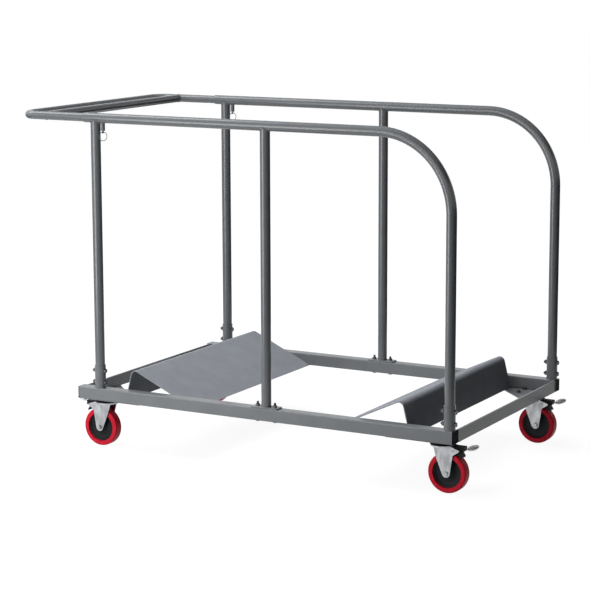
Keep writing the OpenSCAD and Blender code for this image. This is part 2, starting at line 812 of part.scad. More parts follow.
// Brake lever, with its shoe cut to the tread as it lies when the brake is on
module brake_lever(end, side) {
    nose_x = skirt_r + 4;
    block_low_z = stem_z - 4;
    cut_half = boss_half_w + cut_over;
    wheel_when_on = pivot + [
        (axle.x - pivot.x) * cos(brake_turn) - (axle.y - pivot.y) * sin(brake_turn),
        (axle.x - pivot.x) * sin(brake_turn) + (axle.y - pivot.y) * cos(brake_turn)
    ];
    color(plastic_black) at_caster(end, side) difference() {
        union() {
            translate([0, lever_half_w, 0]) rotate([90, 0, 0]) linear_extrude(2 * lever_half_w) polygon([
                [nose_x, lever_top_z], [lever_end_x - 1, lever_top_z], [lever_end_x, lever_top_z - 1],
                [lever_end_x, block_low_z], shoe_top, shoe_heel, shoe_toe, [pivot.x + 8, shoe_toe.y], pivot
            ]);
            cross_rod(pivot, boss_half_w, pivot_boss_r);
        }
        cross_rod(wheel_when_on, cut_half, wheel_r + shoe_clear);
        cross_rod(pivot, cut_half, brake_pin_d / 2 + run_clear);
        along_pedal() translate([-stem_in, 0, 0]) rod_x(stem_in + cut_over, stem_d / 2);
    }
}

// Line of the pedal: it starts at the lever's end and rises outward
module along_pedal() {
    translate([lever_end_x, 0, stem_z]) rotate([0, -pedal_tilt, 0]) children();
}

// Outline of the pedal leaf from above, from its neck to its round tip
module leaf_outline() {
    tip_r = pedal_w / 2 - 3;
    tip_x = leaf_tip - tip_r;
    polygon([
        [leaf_start, -stem_d / 2], [leaf_start + leaf_neck, -pedal_w / 2], [tip_x, -tip_r],
        [tip_x, tip_r], [leaf_start + leaf_neck, pedal_w / 2], [leaf_start, stem_d / 2]
    ]);
    translate([tip_x, 0]) circle(r = tip_r);
}

// Foot pedal: a stem pressed into the lever and a dished leaf
module brake_pedal(end, side) {
    color(zinc) at_caster(end, side) along_pedal() {
        translate([-stem_in, 0, 0]) rod_x(stem_in + leaf_start + stem_lap, stem_d / 2);
        intersection() {
            translate([leaf_start - cut_over, 0, leaf_curve_r - stem_d / 2])
                rotate([90, 0, 90]) linear_extrude(leaf_tip - leaf_start + 2 * cut_over) difference() {
                    ring(leaf_curve_r, leaf_t);
                    translate([-leaf_curve_r, 0]) square([2 * leaf_curve_r, leaf_curve_r]);
                }
            translate([0, 0, -leaf_curve_r]) linear_extrude(3 * leaf_curve_r) leaf_outline();
        }
    }
}

base_rail(near);  // base_rail_near
base_rail(far);  // base_rail_far
cross_bar(base_left_x + bar_left_inset);  // base_bar_left
cross_bar(base_right_x - bar_t);  // base_bar_right
rail_end_plugs();
corner_gussets();
cradle_plate(left);  // cradle_plate_left
cradle_plate(right);  // cradle_plate_right
post_sockets();
socket_bolts();
socket_nuts();
side_rail(near);  // side_rail_near
side_rail(far);  // side_rail_far
left_post(near);  // left_post_near
left_post(far);  // left_post_far
mid_post(near);  // mid_post_near
mid_post(far);  // mid_post_far
mid_post_feet();
foot_bolts();
foot_nuts();
plunger_housings();
plunger_spring(near);  // plunger_spring_near
plunger_spring(far);  // plunger_spring_far
caster_plates();
kingpins();
swivel_balls();
caster_bolts();
caster_nuts();
handle_loop();
handle_cross_bar();
plunger_pin(near);  // plunger_pin_near
plunger_pin(far);  // plunger_pin_far
pull_ring(near);  // pull_ring_near
pull_ring(far);  // pull_ring_far
fork(right, near);  // fork_right_near
axle_set(right, near);  // axle_set_right_near
wheel_hub(right, near);  // wheel_hub_right_near
wheel_tread(right, near);  // wheel_tread_right_near
brake_lever(right, near);  // brake_lever_right_near
brake_pedal(right, near);  // brake_pedal_right_near
fork(right, far);  // fork_right_far
axle_set(right, far);  // axle_set_right_far
wheel_hub(right, far);  // wheel_hub_right_far
wheel_tread(right, far);  // wheel_tread_right_far
brake_lever(right, far);  // brake_lever_right_far
brake_pedal(right, far);  // brake_pedal_right_far
fork(left, near);  // fork_left_near
axle_set(left, near);  // axle_set_left_near
wheel_hub(left, near);  // wheel_hub_left_near
wheel_tread(left, near);  // wheel_tread_left_near
brake_lever(left, near);  // brake_lever_left_near
brake_pedal(left, near);  // brake_pedal_left_near
fork(left, far);  // fork_left_far
axle_set(left, far);  // axle_set_left_far
wheel_hub(left, far);  // wheel_hub_left_far
wheel_tread(left, far);  // wheel_tread_left_far
brake_lever(left, far);  // brake_lever_left_far
brake_pedal(left, far);  // brake_pedal_left_far
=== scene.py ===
"""Dresses the round table cart: finishes, welds, fasteners, pedals and the white studio round it.

The cart is powder-coated steel tube and bent sheet on four braked swivel casters with red treads. Places
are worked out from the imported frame's boxes and joints, and from the sizes that each class holds. Sizes
named _mm are in millimetres, angles named _deg are in degrees, and all other lengths are in metres.
"""

import json
import logging
import math
import random
from dataclasses import dataclass, field
from enum import Enum
from typing import Callable, ClassVar, Iterable, Sequence

import bmesh
import bpy
from mathutils import Matrix, Vector


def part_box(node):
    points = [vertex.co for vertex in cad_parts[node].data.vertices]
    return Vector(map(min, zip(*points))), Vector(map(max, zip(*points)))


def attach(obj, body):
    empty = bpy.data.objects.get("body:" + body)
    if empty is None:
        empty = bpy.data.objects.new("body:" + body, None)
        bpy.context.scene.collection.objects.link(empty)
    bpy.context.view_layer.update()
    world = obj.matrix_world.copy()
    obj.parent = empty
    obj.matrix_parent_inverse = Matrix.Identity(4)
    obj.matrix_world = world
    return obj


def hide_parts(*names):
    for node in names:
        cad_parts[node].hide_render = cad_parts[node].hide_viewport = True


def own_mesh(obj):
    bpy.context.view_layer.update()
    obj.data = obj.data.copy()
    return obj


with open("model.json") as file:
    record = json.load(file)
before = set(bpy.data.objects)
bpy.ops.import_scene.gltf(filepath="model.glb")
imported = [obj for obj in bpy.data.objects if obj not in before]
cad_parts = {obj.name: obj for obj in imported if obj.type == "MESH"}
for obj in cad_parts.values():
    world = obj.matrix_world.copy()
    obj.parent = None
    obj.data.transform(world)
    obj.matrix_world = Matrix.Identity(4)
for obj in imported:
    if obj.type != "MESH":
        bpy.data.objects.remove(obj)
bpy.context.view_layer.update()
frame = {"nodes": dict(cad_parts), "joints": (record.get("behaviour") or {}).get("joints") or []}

log = logging.getLogger("table_cart")
MM = 0.001
# The camera's side of the cart is the near one, toward -Y. The left end lies toward -X.
NEAR, FAR = -1, 1
LEFT, RIGHT = -1, 1
SIDES = ("near", "far")
# The sRGB curve: a straight toe, then a power.
TOE_END, TOE_SLOPE, CURVE_LIFT, CURVE_POWER = 0.04045, 12.92, 0.055, 2.4
Colour = tuple[float, float, float, float]
Point = tuple[float, float, float]
# A low and a high value.
Band = tuple[float, float]
# The size of a pattern's features in millimetres, and how many finer layers break them up.
Grain = tuple[float, float]
Seam = Callable[[float], Vector]
Tree = bpy.types.NodeTree
Socket = bpy.types.NodeSocket
Inputs = dict[str | int, object]


def linear(hex_colour: str, share: float = 1.0) -> Colour:
    """Turns an sRGB hex colour into the linear colour that shaders use.

    Args:
        hex_colour: Six hex digits, with or without a leading #.
        share: Factor on the linear values, for a lighter or darker shade of the same colour.

    Returns:
        Red, green, blue and an alpha of 1.
    """
    digits = hex_colour.lstrip("#")
    parts = []
    for start in (0, 2, 4):
        value = int(digits[start:start + 2], 16) / 255
        curved = ((value + CURVE_LIFT) / (1 + CURVE_LIFT)) ** CURVE_POWER
        parts.append(share * (value / TOE_SLOPE if value <= TOE_END else curved))
    return (parts[0], parts[1], parts[2], 1.0)


def grey(level: float) -> Colour:
    """The neutral colour whose three linear values are level."""
    return (level, level, level, 1.0)


def add_node(
    tree: Tree, kind: str, inputs: Inputs | None = None, **settings: object,
) -> bpy.types.Node:
    """Adds a shader node, sets it up and links it.

    Args:
        tree: The material's node tree.
        kind: The node's type name.
        inputs: Input name or number to a value, or to the socket that feeds it.
        **settings: Properties of the node itself.

    Returns:
        The new node.
    """
    node = tree.nodes.new(kind)
    for name, value in settings.items():
        setattr(node, name, value)
    for key, value in (inputs or {}).items():
        if isinstance(value, bpy.types.NodeSocket):
            tree.links.new(value, node.inputs[key])
        else:
            node.inputs[key].default_value = value
    return node


def per_metre(size_mm: float) -> float:
    """Scale, in features per metre, of a pattern whose features are size_mm wide."""
    return 1 / (size_mm * MM)


def new_material(name: str) -> tuple[bpy.types.Material, Tree]:
    """Makes an empty node material.

    Args:
        name: The material's name.

    Returns:
        The material and its empty node tree.
    """
    material = bpy.data.materials.new(name)
    material.use_nodes = True
    material.node_tree.nodes.clear()
    return material, material.node_tree


@dataclass(frozen=True)
class Surface:
    """What every finish has: a name, a colour, a roughness, and one surface shader fed by patterns."""

    name: str
    tone: str
    roughness: float

    def build(self) -> bpy.types.Material:
        """Builds the material.

        Returns:
            The material.
        """
        material, tree = new_material(self.name)
        at = add_node(tree, "ShaderNodeTexCoord").outputs["Object"]
        shader = add_node(tree, "ShaderNodeBsdfPrincipled", self.feed(tree, at))
        add_node(tree, "ShaderNodeOutputMaterial", {"Surface": shader.outputs["BSDF"]})
        return material

    def shaded(self, tree: Tree, pattern: Socket, band: Band, first: Colour, last: Colour) -> Socket:
        """Blends two colours over a band of a pattern's values.

        Args:
            tree: The material's node tree.
            pattern: The pattern.
            band: Its values where the first colour ends and the last one starts.
            first: Colour below the band.
            last: Colour above it.

        Returns:
            The blended colour.
        """
        low, high = band
        share = add_node(tree, "ShaderNodeMapRange", {"Value": pattern, "From Min": low, "From Max": high})
        blend = add_node(
            tree, "ShaderNodeMix", {"Factor": share.outputs["Result"], "A": first, "B": last},
            data_type="RGBA",
        )
        return blend.outputs["Result"]

    def feed(self, tree: Tree, at: Socket) -> Inputs:
        """Builds the finish's patterns over the object, and gives the surface shader's inputs."""
        raise NotImplementedError


@dataclass(frozen=True)
class PowderCoat(Surface):
    """Polyester powder coat, sprayed dry on blasted steel and baked.

    The film is even and satin, so broad lamps show as soft stripes along the tubes. Its orange peel breaks
    their edges a little, the film's thickness gives a faint mottle, and pigment grains give a fine speckle.
    The grains are about 0.1 mm, too fine to show, so the speckle is drawn ten times as coarse.
    """

    specular: float
    peel: Grain = (2.4, 2.0)
    peel_depth_mm: float = 0.02
    peel_strength: float = 0.5
    mottle: Grain = (60.0, 3.0)
    speckle: Grain = (1.1, 1.0)
    speckle_share: float = 0.35
    shade_band: Band = (0.35, 0.65)
    tone_spread: float = 0.06
    gloss_band: Band = (0.25, 0.75)
    gloss_spread: float = 0.02

    def feed(self, tree: Tree, at: Socket) -> Inputs:
        """Shades the colour by mottle and speckle, and the gloss and relief by the orange peel.

        Args:
            tree: The material's node tree.
            at: The place on the object.

        Returns:
            The surface shader's inputs.
        """
        mottle, speckle, peel = (
            add_node(
                tree, "ShaderNodeTexNoise", {"Vector": at, "Scale": per_metre(size), "Detail": layers},
            ).outputs["Fac"]
            for size, layers in (self.mottle, self.speckle, self.peel)
        )
        mixed = add_node(
            tree, "ShaderNodeMix", {"Factor": self.speckle_share, "A": mottle, "B": speckle},
            data_type="FLOAT",
        )
        darker, lighter = linear(self.tone, 1 - self.tone_spread), linear(self.tone, 1 + self.tone_spread)
        low, high = self.gloss_band
        gloss = add_node(
            tree, "ShaderNodeMapRange",
            {
                "Value": peel, "From Min": low, "From Max": high,
                "To Min": self.roughness - self.gloss_spread, "To Max": self.roughness + self.gloss_spread,
            },
        )
        bump = add_node(
            tree, "ShaderNodeBump",
            {"Height": peel, "Strength": self.peel_strength, "Distance": self.peel_depth_mm * MM},
        )
        return {
            "Base Color": self.shaded(tree, mixed.outputs["Result"], self.shade_band, darker, lighter),
            "Roughness": gloss.outputs["Result"],
            "Specular IOR Level": self.specular,
            "Normal": bump.outputs["Normal"],
        }


@dataclass(frozen=True)
class ZincPlate(Surface):
    """Mild steel, pressed, drawn or turned, then electroplated with zinc.

    It is a cool metal whose gloss is cloudy from the bath. The press leaves shallow waves, so bright and
    dark bands cross a face, and fine handling marks run over it, drawn wider than real ones so that they
    show.
    """

    cloud_share: float
    cloud: Grain = (16.0, 4.0)
    wave: Grain = (22.0, 0.0)
    press_stretch: Point = (1.0, 1.0, 0.4)
    wave_depth_mm: float = 0.25
    wave_strength: float = 0.6
    scratch: Grain = (0.9, 2.0)
    scratch_stretch: Point = (0.12, 1.0, 1.0)
    scratch_depth_mm: float = 0.02
    scratch_strength: float = 0.35
    shade_band: Band = (0.36, 0.62)
    gloss_band: Band = (0.3, 0.7)
    dull_by: float = 0.06
    bright_by: float = 0.04

    def feed(self, tree: Tree, at: Socket) -> Inputs:
        """Shades the colour and the gloss by the clouds, and the relief by the waves and scratches.

        Args:
            tree: The material's node tree.
            at: The place on the object.

        Returns:
            The surface shader's inputs.
        """
        pressed, drawn = (
            add_node(tree, "ShaderNodeMapping", {"Vector": at, "Scale": stretch}).outputs["Vector"]
            for stretch in (self.press_stretch, self.scratch_stretch)
        )
        cloud, wave, scratch = (
            add_node(
                tree, "ShaderNodeTexNoise", {"Vector": place, "Scale": per_metre(size), "Detail": layers},
            ).outputs["Fac"]
            for place, (size, layers) in ((pressed, self.cloud), (pressed, self.wave), (drawn, self.scratch))
        )
        cloudy, clear = linear(self.tone, self.cloud_share), linear(self.tone)
        low, high = self.gloss_band
        gloss = add_node(
            tree, "ShaderNodeMapRange",
            {
                "Value": cloud, "From Min": low, "From Max": high,
                "To Min": self.roughness + self.dull_by, "To Max": self.roughness - self.bright_by,
            },
        )
        waves = add_node(
            tree, "ShaderNodeBump",
            {"Height": wave, "Strength": self.wave_strength, "Distance": self.wave_depth_mm * MM},
        )
        marks = add_node(
            tree, "ShaderNodeBump",
            {
                "Height": scratch, "Strength": self.scratch_strength,
                "Distance": self.scratch_depth_mm * MM, "Normal": waves.outputs["Normal"],
            },
        )
        return {
            "Base Color": self.shaded(tree, cloud, self.shade_band, cloudy, clear),
            "Metallic": 1.0,
            "Roughness": gloss.outputs["Result"],
            "Normal": marks.outputs["Normal"],
        }


@dataclass(frozen=True)
class MouldedPlastic(Surface):
    """Nylon, polypropylene, polyethylene or rubber, moulded in a spark-eroded tool.

    It is near black with a fine even grain, which spreads the highlights into a weak sheen. The grain is
    drawn some times coarser than the tool's, so that it shows. Dust lightens the plastic a little in places.
    """

    specular: float
    grain: Grain = (0.8, 1.0)
    grain_depth_mm: float = 0.03
    grain_strength: float = 0.4
    dust: Grain = (24.0, 4.0)
    dust_band: Band = (0.35, 0.75)
    dust_share: float = 1.5
    gloss_band: Band = (0.3, 0.7)
    clean_by: float = 0.04
    dull_by: float = 0.06

    def feed(self, tree: Tree, at: Socket) -> Inputs:
        """Shades the colour and the gloss by the dust, and the relief by the grain.

        Args:
            tree: The material's node tree.
            at: The place on the object.

        Returns:
            The surface shader's inputs.
        """
        grain, dust = (
            add_node(
                tree, "ShaderNodeTexNoise", {"Vector": at, "Scale": per_metre(size), "Detail": layers},
            ).outputs["Fac"]
            for size, layers in (self.grain, self.dust)
        )
        clean, dusty = linear(self.tone), linear(self.tone, self.dust_share)
        low, high = self.gloss_band
        gloss = add_node(
            tree, "ShaderNodeMapRange",
            {
                "Value": dust, "From Min": low, "From Max": high,
                "To Min": self.roughness - self.clean_by, "To Max": self.roughness + self.dull_by,
            },
        )
        bump = add_node(
            tree, "ShaderNodeBump",
            {"Height": grain, "Strength": self.grain_strength, "Distance": self.grain_depth_mm * MM},
        )
        return {
            "Base Color": self.shaded(tree, dust, self.dust_band, clean, dusty),
            "Roughness": gloss.outputs["Result"],
            "Specular IOR Level": self.specular,
            "Normal": bump.outputs["Normal"],
        }


@dataclass(frozen=True)
class CastPolyurethane(Surface):
    """Polyurethane, cast round the hub and turned.

    It is a deep glossy red. Light enters it a little, so lit edges look warmer and lighter than the shade,
    and fine scuffs from the floor dull the gloss, drawn coarser than real ones so that they show.
    """

    deep_tone: str
    specular: float = 0.14
    swirl: Grain = (14.0, 3.0)
    scuff: Grain = (1.1, 2.0)
    scuff_depth_mm: float = 0.03
    scuff_strength: float = 0.3
    shade_band: Band = (0.3, 0.7)
    gloss_band: Band = (0.3, 0.7)
    dull_by: float = 0.08
    glow_share: float = 0.12
    glow_depth_mm: float = 4.0

    def feed(self, tree: Tree, at: Socket) -> Inputs:
        """Shades the colour by the swirls of the pour, and the gloss and relief by the scuffs.

        Args:
            tree: The material's node tree.
            at: The place on the object.

        Returns:
            The surface shader's inputs.
        """
        swirl, scuff = (
            add_node(
                tree, "ShaderNodeTexNoise", {"Vector": at, "Scale": per_metre(size), "Detail": layers},
            ).outputs["Fac"]
            for size, layers in (self.swirl, self.scuff)
        )
        deep, bright = linear(self.deep_tone), linear(self.tone)
        low, high = self.gloss_band
        gloss = add_node(
            tree, "ShaderNodeMapRange",
            {
                "Value": scuff, "From Min": low, "From Max": high,
                "To Min": self.roughness, "To Max": self.roughness + self.dull_by,
            },
        )
        bump = add_node(
            tree, "ShaderNodeBump",
            {"Height": scuff, "Strength": self.scuff_strength, "Distance": self.scuff_depth_mm * MM},
        )
        return {
            "Base Color": self.shaded(tree, swirl, self.shade_band, deep, bright),
            "Roughness": gloss.outputs["Result"],
            "Specular IOR Level": self.specular,
            "Subsurface Weight": self.glow_share,
            "Subsurface Scale": self.glow_depth_mm * MM,
            "Normal": bump.outputs["Normal"],
        }


class Slot(Enum):
    """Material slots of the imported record."""

    PAINT = "grey_powder_coat"
    SHEET = "sheet_powder_coat"
    ZINC = "zinc_plated_steel"
    BLACK = "black_plastic"
    HUB = "hub_plastic"
    TREAD = "red_polyurethane"


class Finish(Enum):
    """The cart's finishes, each with the record's slot that it belongs to.

    The last two values of small zinc pieces are finer clouds and waves than the forks have.
    """

    TUBE = (Slot.PAINT, PowderCoat("powder_coated_tube", "#696c6f", 0.21, 0.45))
    FLAT = (Slot.PAINT, PowderCoat("powder_coated_flat", "#777a7d", 0.3, 0.25))
    CRADLE = (Slot.SHEET, PowderCoat("powder_coated_sheet", "#91959b", 0.6, 0.0))
    FORK = (Slot.ZINC, ZincPlate("bright_zinc_on_pressed_steel", "#b4b6b9", 0.32, 0.6))
    # The top plates' zinc is toned darker than the forks' as painted shade, standing in for the shade under
    # the rails.
    TOP_PLATE = (Slot.ZINC, ZincPlate("dull_zinc_on_plate_with_painted_shade", "#85878a", 0.5, 0.8))
    BOLT = (Slot.ZINC, ZincPlate("dull_zinc_on_bolts", "#66686a", 0.42, 0.7, (4.0, 4.0), (6.0, 0.0)))
    AXLE = (Slot.ZINC, ZincPlate("zinc_on_axle_bolt", "#a9abad", 0.36, 0.7, (4.0, 4.0), (6.0, 0.0)))
    WIRE = (Slot.ZINC, ZincPlate("zinc_on_drawn_wire", "#6d7072", 0.34, 0.8, (5.0, 4.0), (8.0, 0.0)))
    PEDAL = (Slot.ZINC, ZincPlate("zinc_on_pressed_pedal", "#e2e3e4", 0.42, 0.75, (6.0, 4.0), (10.0, 0.0)))
    LEVER = (Slot.BLACK, MouldedPlastic("moulded_black_polypropylene", "#191a1c", 0.5, 0.12))
    PLUG = (Slot.BLACK, MouldedPlastic("moulded_black_polyethylene", "#060708", 0.6, 0.03))
    # The seal's near-black rubber is partly painted shade: it fills the gap under the caster top plates,
    # where shade falls.
    SEAL_AND_PAINTED_SHADE = (Slot.BLACK, MouldedPlastic("black_rubber_seal_and_painted_shade", "#08090a", 0.7, 0.05))
    HUB = (Slot.HUB, MouldedPlastic("moulded_black_nylon", "#151719", 0.5, 0.15))
    TREAD = (Slot.TREAD, CastPolyurethane("cast_red_polyurethane", "#d62038", 0.4, "#c2152c"))

    @property
    def slot(self) -> Slot:
        """The record's slot."""
        return self.value[0]


@dataclass
class PaintShop:
    """Builds each finish once and hands it out."""

    seam_mm: float = 0.002
    flat_deg: float = 0.3
    edge_deg: float = 32.0
    edge_segments: int = 2
    built: dict[Finish, bpy.types.Material] = field(default_factory=dict)

    def material(self, finish: Finish) -> bpy.types.Material:
        """The material of a finish."""
        if finish not in self.built:
            self.built[finish] = finish.value[1].build()
        return self.built[finish]

    def dress(self, name: str, finish: Finish, edge_mm: float = 0.0) -> None:
        """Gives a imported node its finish, and breaks its sharp edges as on a deburred or moulded piece.

        Its triangles are joined into whole faces first, so that the broken edges stay even.

        Args:
            name: The node's name.
            finish: Its finish.
            edge_mm: Width of the broken edge, or 0 to leave the edges alone.
        """
        node = frame["nodes"][name]
        node.data.materials.clear()
        node.data.materials.append(self.material(finish))
        if not edge_mm:
            return
        normals = node.data.attributes.get("custom_normal")
        if normals is not None:
            node.data.attributes.remove(normals)
        node.data.shade_smooth()
        weld = node.modifiers.new("seams", "WELD")
        weld.merge_threshold = self.seam_mm * MM
        flats = node.modifiers.new("whole_flats", "DECIMATE")
        flats.decimate_type = "DISSOLVE"
        flats.angle_limit = math.radians(self.flat_deg)
        edge = node.modifiers.new("broken_edge", "BEVEL")
        edge.width = edge_mm * MM
        edge.segments = self.edge_segments
        edge.limit_method = "ANGLE"
        edge.angle_limit = math.radians(self.edge_deg)
        edge.harden_normals = True


def turns(count: int) -> list[float]:
    """A full turn in equal steps, in radians."""
    return [math.tau * k / count for k in range(count)]


def round_section(centre: Vector, radius: float, side: Vector, up: Vector, count: int) -> list[Vector]:
    """Points of a circle round centre, in the plane of side and up."""
    return [centre + radius * (math.cos(turn) * side + math.sin(turn) * up) for turn in turns(count)]


@dataclass
class Piece:
    """A mesh under construction, which becomes one object on one body.

    Edges sharper than smooth_deg stay sharp.
    """

    name: str
    body: str
    finish: Finish
    mesh: bmesh.types.BMesh = field(default_factory=bmesh.new)
    smooth_deg: float = 35.0

    def skin(self, rings: Sequence[Sequence[Vector]], closed: bool = False) -> None:
        """Skins rings of equally many points, capping the two ends unless the rings close on themselves.

        Args:
            rings: The rings, in order.
            closed: Whether the last ring joins the first.
        """
        made = [[self.mesh.verts.new(point) for point in ring] for ring in rings]
        count = len(made[0])
        pairs = list(zip(made, made[1:]))
        if closed:
            pairs.append((made[-1], made[0]))
        for lower, upper in pairs:
            for k in range(count):
                after = (k + 1) % count
                self.mesh.faces.new((lower[k], lower[after], upper[after], upper[k]))
        if not closed:
            self.mesh.faces.new(made[0][::-1])
            self.mesh.faces.new(made[-1])

    def add(self, shop: PaintShop, replaces: Sequence[str] = ()) -> bpy.types.Object:
        """Turns the mesh into an object with its finish, riding on its body.

        Args:
            shop: Where the finish comes from.
            replaces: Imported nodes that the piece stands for.

        Returns:
            The new object.
        """
        bmesh.ops.recalc_face_normals(self.mesh, faces=self.mesh.faces)
        data = bpy.data.meshes.new(self.name)
        self.mesh.to_mesh(data)
        self.mesh.free()
        data.shade_smooth()
        data.set_sharp_from_angle(angle=math.radians(self.smooth_deg))
        data.materials.append(shop.material(self.finish))
        piece = bpy.data.objects.new(self.name, data)
        bpy.context.scene.collection.objects.link(piece)
        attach(piece, self.body)
        if replaces:
            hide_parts(*replaces)
        log.info("%s: %d faces, on %s", self.name, len(data.polygons), self.body)
        return piece


@dataclass(frozen=True)
class WeldBead:
    """A MIG weld bead under paint: a low rope of overlapping ripples along a seam.

    No seam runs along off_axis, which the bead's sides are squared to.
    """

    radius_mm: float
    ripple_mm: float = 2.6
    ripple_depth: float = 0.16
    unevenness: float = 0.04
    end_share: float = 0.55
    sides: int = 8
    steps_per_ripple: int = 4
    samples: int = 200
    off_axis: Point = (0.31, 0.17, 0.93)

    def weld(
        self, shop: PaintShop, piece: Piece, seams: Iterable[Seam], seeds: Iterable[int],
        closed: bool = True,
    ) -> None:
        """Lays a bead along each seam and adds them all as one piece.

        Args:
            shop: Where the finish comes from.
            piece: The piece that takes the beads.
            seams: The seams, each as a curve from 0 to 1.
            seeds: Seed of each bead's small irregularities.
            closed: Whether the seams are loops.
        """
        for seam, seed in zip(seams, seeds):
            self.lay(piece, seam, closed, random.Random(seed))
        piece.add(shop)

    def lay(self, piece: Piece, seam: Seam, closed: bool, chance: random.Random) -> None:
        """Adds a bead along one seam.

        Args:
            piece: The piece that takes the bead.
            seam: The seam as a curve from 0 to 1.
            closed: Whether the seam is a loop.
            chance: Where the bead's small irregularities come from.
        """
        points = [seam(k / self.samples) for k in range(self.samples + 1)]
        length = sum((b - a).length for a, b in zip(points, points[1:]))
        ripples = max(2, round(length / (self.ripple_mm * MM)))
        steps = ripples * self.steps_per_ripple
        rings = []
        for step in range(steps if closed else steps + 1):
            along = step / steps
            here = seam(along)
            ahead = seam(min(along + 0.5 / steps, 1.0)) - seam(max(along - 0.5 / steps, 0.0))
            ahead.normalize()
            side = ahead.cross(Vector(self.off_axis)).normalized()
            up = side.cross(ahead)
            phase = step % self.steps_per_ripple / self.steps_per_ripple
            swell = 1 + self.ripple_depth * (0.5 - phase) + chance.uniform(-self.unevenness, self.unevenness)
            if not closed and step in (0, steps):
                swell *= self.end_share
            rings.append(round_section(here, self.radius_mm * MM * swell, side, up, self.sides))
        piece.skin(rings, closed)


def circle_seam(centre: Vector, radius: float) -> Seam:
    """A level circle round a point, as a curve from 0 to 1."""
    return lambda t: centre + radius * Vector((math.cos(math.tau * t), math.sin(math.tau * t), 0))


def line_seam(start: Vector, end: Vector) -> Seam:
    """A straight line, as a curve from 0 to 1."""
    return lambda t: start.lerp(end, t)


def saddle_seam(
    centre: Vector, branch_r: float, main_r: float, branch_axis: Vector, least: float = 0.0,
) -> Seam:
    """Where a round branch tube meets a round main tube that runs along X, as a curve from 0 to 1.

    Args:
        centre: The point where the two axes cross.
        branch_r: Radius of the branch.
        main_r: Radius of the main tube.
        branch_axis: Unit vector from the main tube along the branch.
        least: The seam's least height above the crossing point.

    Returns:
        The closed seam.
    """
    main_axis = Vector((1, 0, 0))
    across = branch_axis.cross(main_axis)

    def seam(t: float) -> Vector:
        """Finds a point of the seam.

        Args:
            t: Its place along the seam, from 0 to 1.

        Returns:
            The point.
        """
        turn = math.tau * t
        along = branch_r * math.cos(turn)
        sideways = branch_r * math.sin(turn)
        height = math.sqrt(max(main_r ** 2 - sideways ** 2, least ** 2))
        return centre + along * main_axis + sideways * across + height * branch_axis

    return seam


@dataclass(frozen=True)
class Plan:
    """Places on the cart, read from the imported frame."""

    tube_r: float
    base_low_z: float
    base_top_z: float
    rail_y: float
    inner_y: float
    left_post_x: float
    mid_post_x: float
    right_post_x: float
    rail_axis_z: float
    handle_r: float
    cross_bar_x: float
    foot_top_z: float
    socket_r: float
    joint_at: dict[str, Vector]

    @classmethod
    def read(cls) -> "Plan":
        """Reads the boxes and joints of the frame.

        Returns:
            The places.
        """
        rail_low, rail_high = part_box("base_rail_near")
        post_low, post_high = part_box("left_post_near")
        mid_low, mid_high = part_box("mid_post_near")
        side_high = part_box("side_rail_near")[1]
        loop_low, loop_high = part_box("handle_loop")
        bar_low, bar_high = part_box("handle_cross_bar")
        socket_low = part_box("post_sockets")[0]
        tube_r = (post_high.x - post_low.x) / 2
        left_post_x = (post_low.x + post_high.x) / 2
        rail_y = -(rail_low.y + rail_high.y) / 2
        placed = [joint for joint in frame["joints"] if "pos_m" in joint]
        return cls(
            tube_r=tube_r,
            base_low_z=rail_low.z,
            base_top_z=rail_high.z,
            rail_y=rail_y,
            inner_y=rail_y - (rail_high.y - rail_low.y) / 2,
            left_post_x=left_post_x,
            mid_post_x=(mid_low.x + mid_high.x) / 2,
            right_post_x=side_high.x - tube_r,
            rail_axis_z=side_high.z - tube_r,
            handle_r=(loop_high.z - loop_low.z) / 2,
            cross_bar_x=(bar_low.x + bar_high.x) / 2,
            foot_top_z=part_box("mid_post_feet")[1].z,
            socket_r=left_post_x - socket_low.x,
            joint_at={joint["name"]: Vector(joint["pos_m"]) for joint in placed},
        )


@dataclass
class BaseFrame:
    """Square rails, flat cross bars, gussets and end plugs, with the welds that hold them."""

    plan: Plan
    shop: PaintShop
    bead: WeldBead = WeldBead(1.6)
    bead_seeds: Sequence[int] = range(10, 18)
    bead_inset_mm: float = 3.0
    plate_edge_mm: float = 0.5
    plug_edge_mm: float = 0.6

    def build(self) -> None:
        """Dresses the frame's nodes and lays its welds."""
        for name in ("base_rail_near", "base_rail_far"):
            self.shop.dress(name, Finish.FLAT)
        for name in ("base_bar_left", "base_bar_right", "corner_gussets"):
            self.shop.dress(name, Finish.FLAT, self.plate_edge_mm)
        self.shop.dress("rail_end_plugs", Finish.PLUG, self.plug_edge_mm)
        self.weld_bars()

    def weld_bars(self) -> None:
        """Lays an upright bead at each face of each cross bar, where it meets a rail."""
        inset, seams = self.bead_inset_mm * MM, []
        for name in ("base_bar_left", "base_bar_right"):
            low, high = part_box(name)
            for side in (NEAR, FAR):
                for x in (low.x, high.x):
                    foot = Vector((x, side * self.plan.inner_y, low.z + inset))
                    seams.append(line_seam(foot, Vector((foot.x, foot.y, high.z - inset))))
        piece = Piece("cross_bar_welds", "frame", Finish.FLAT)
        self.bead.weld(self.shop, piece, seams, self.bead_seeds, closed=False)


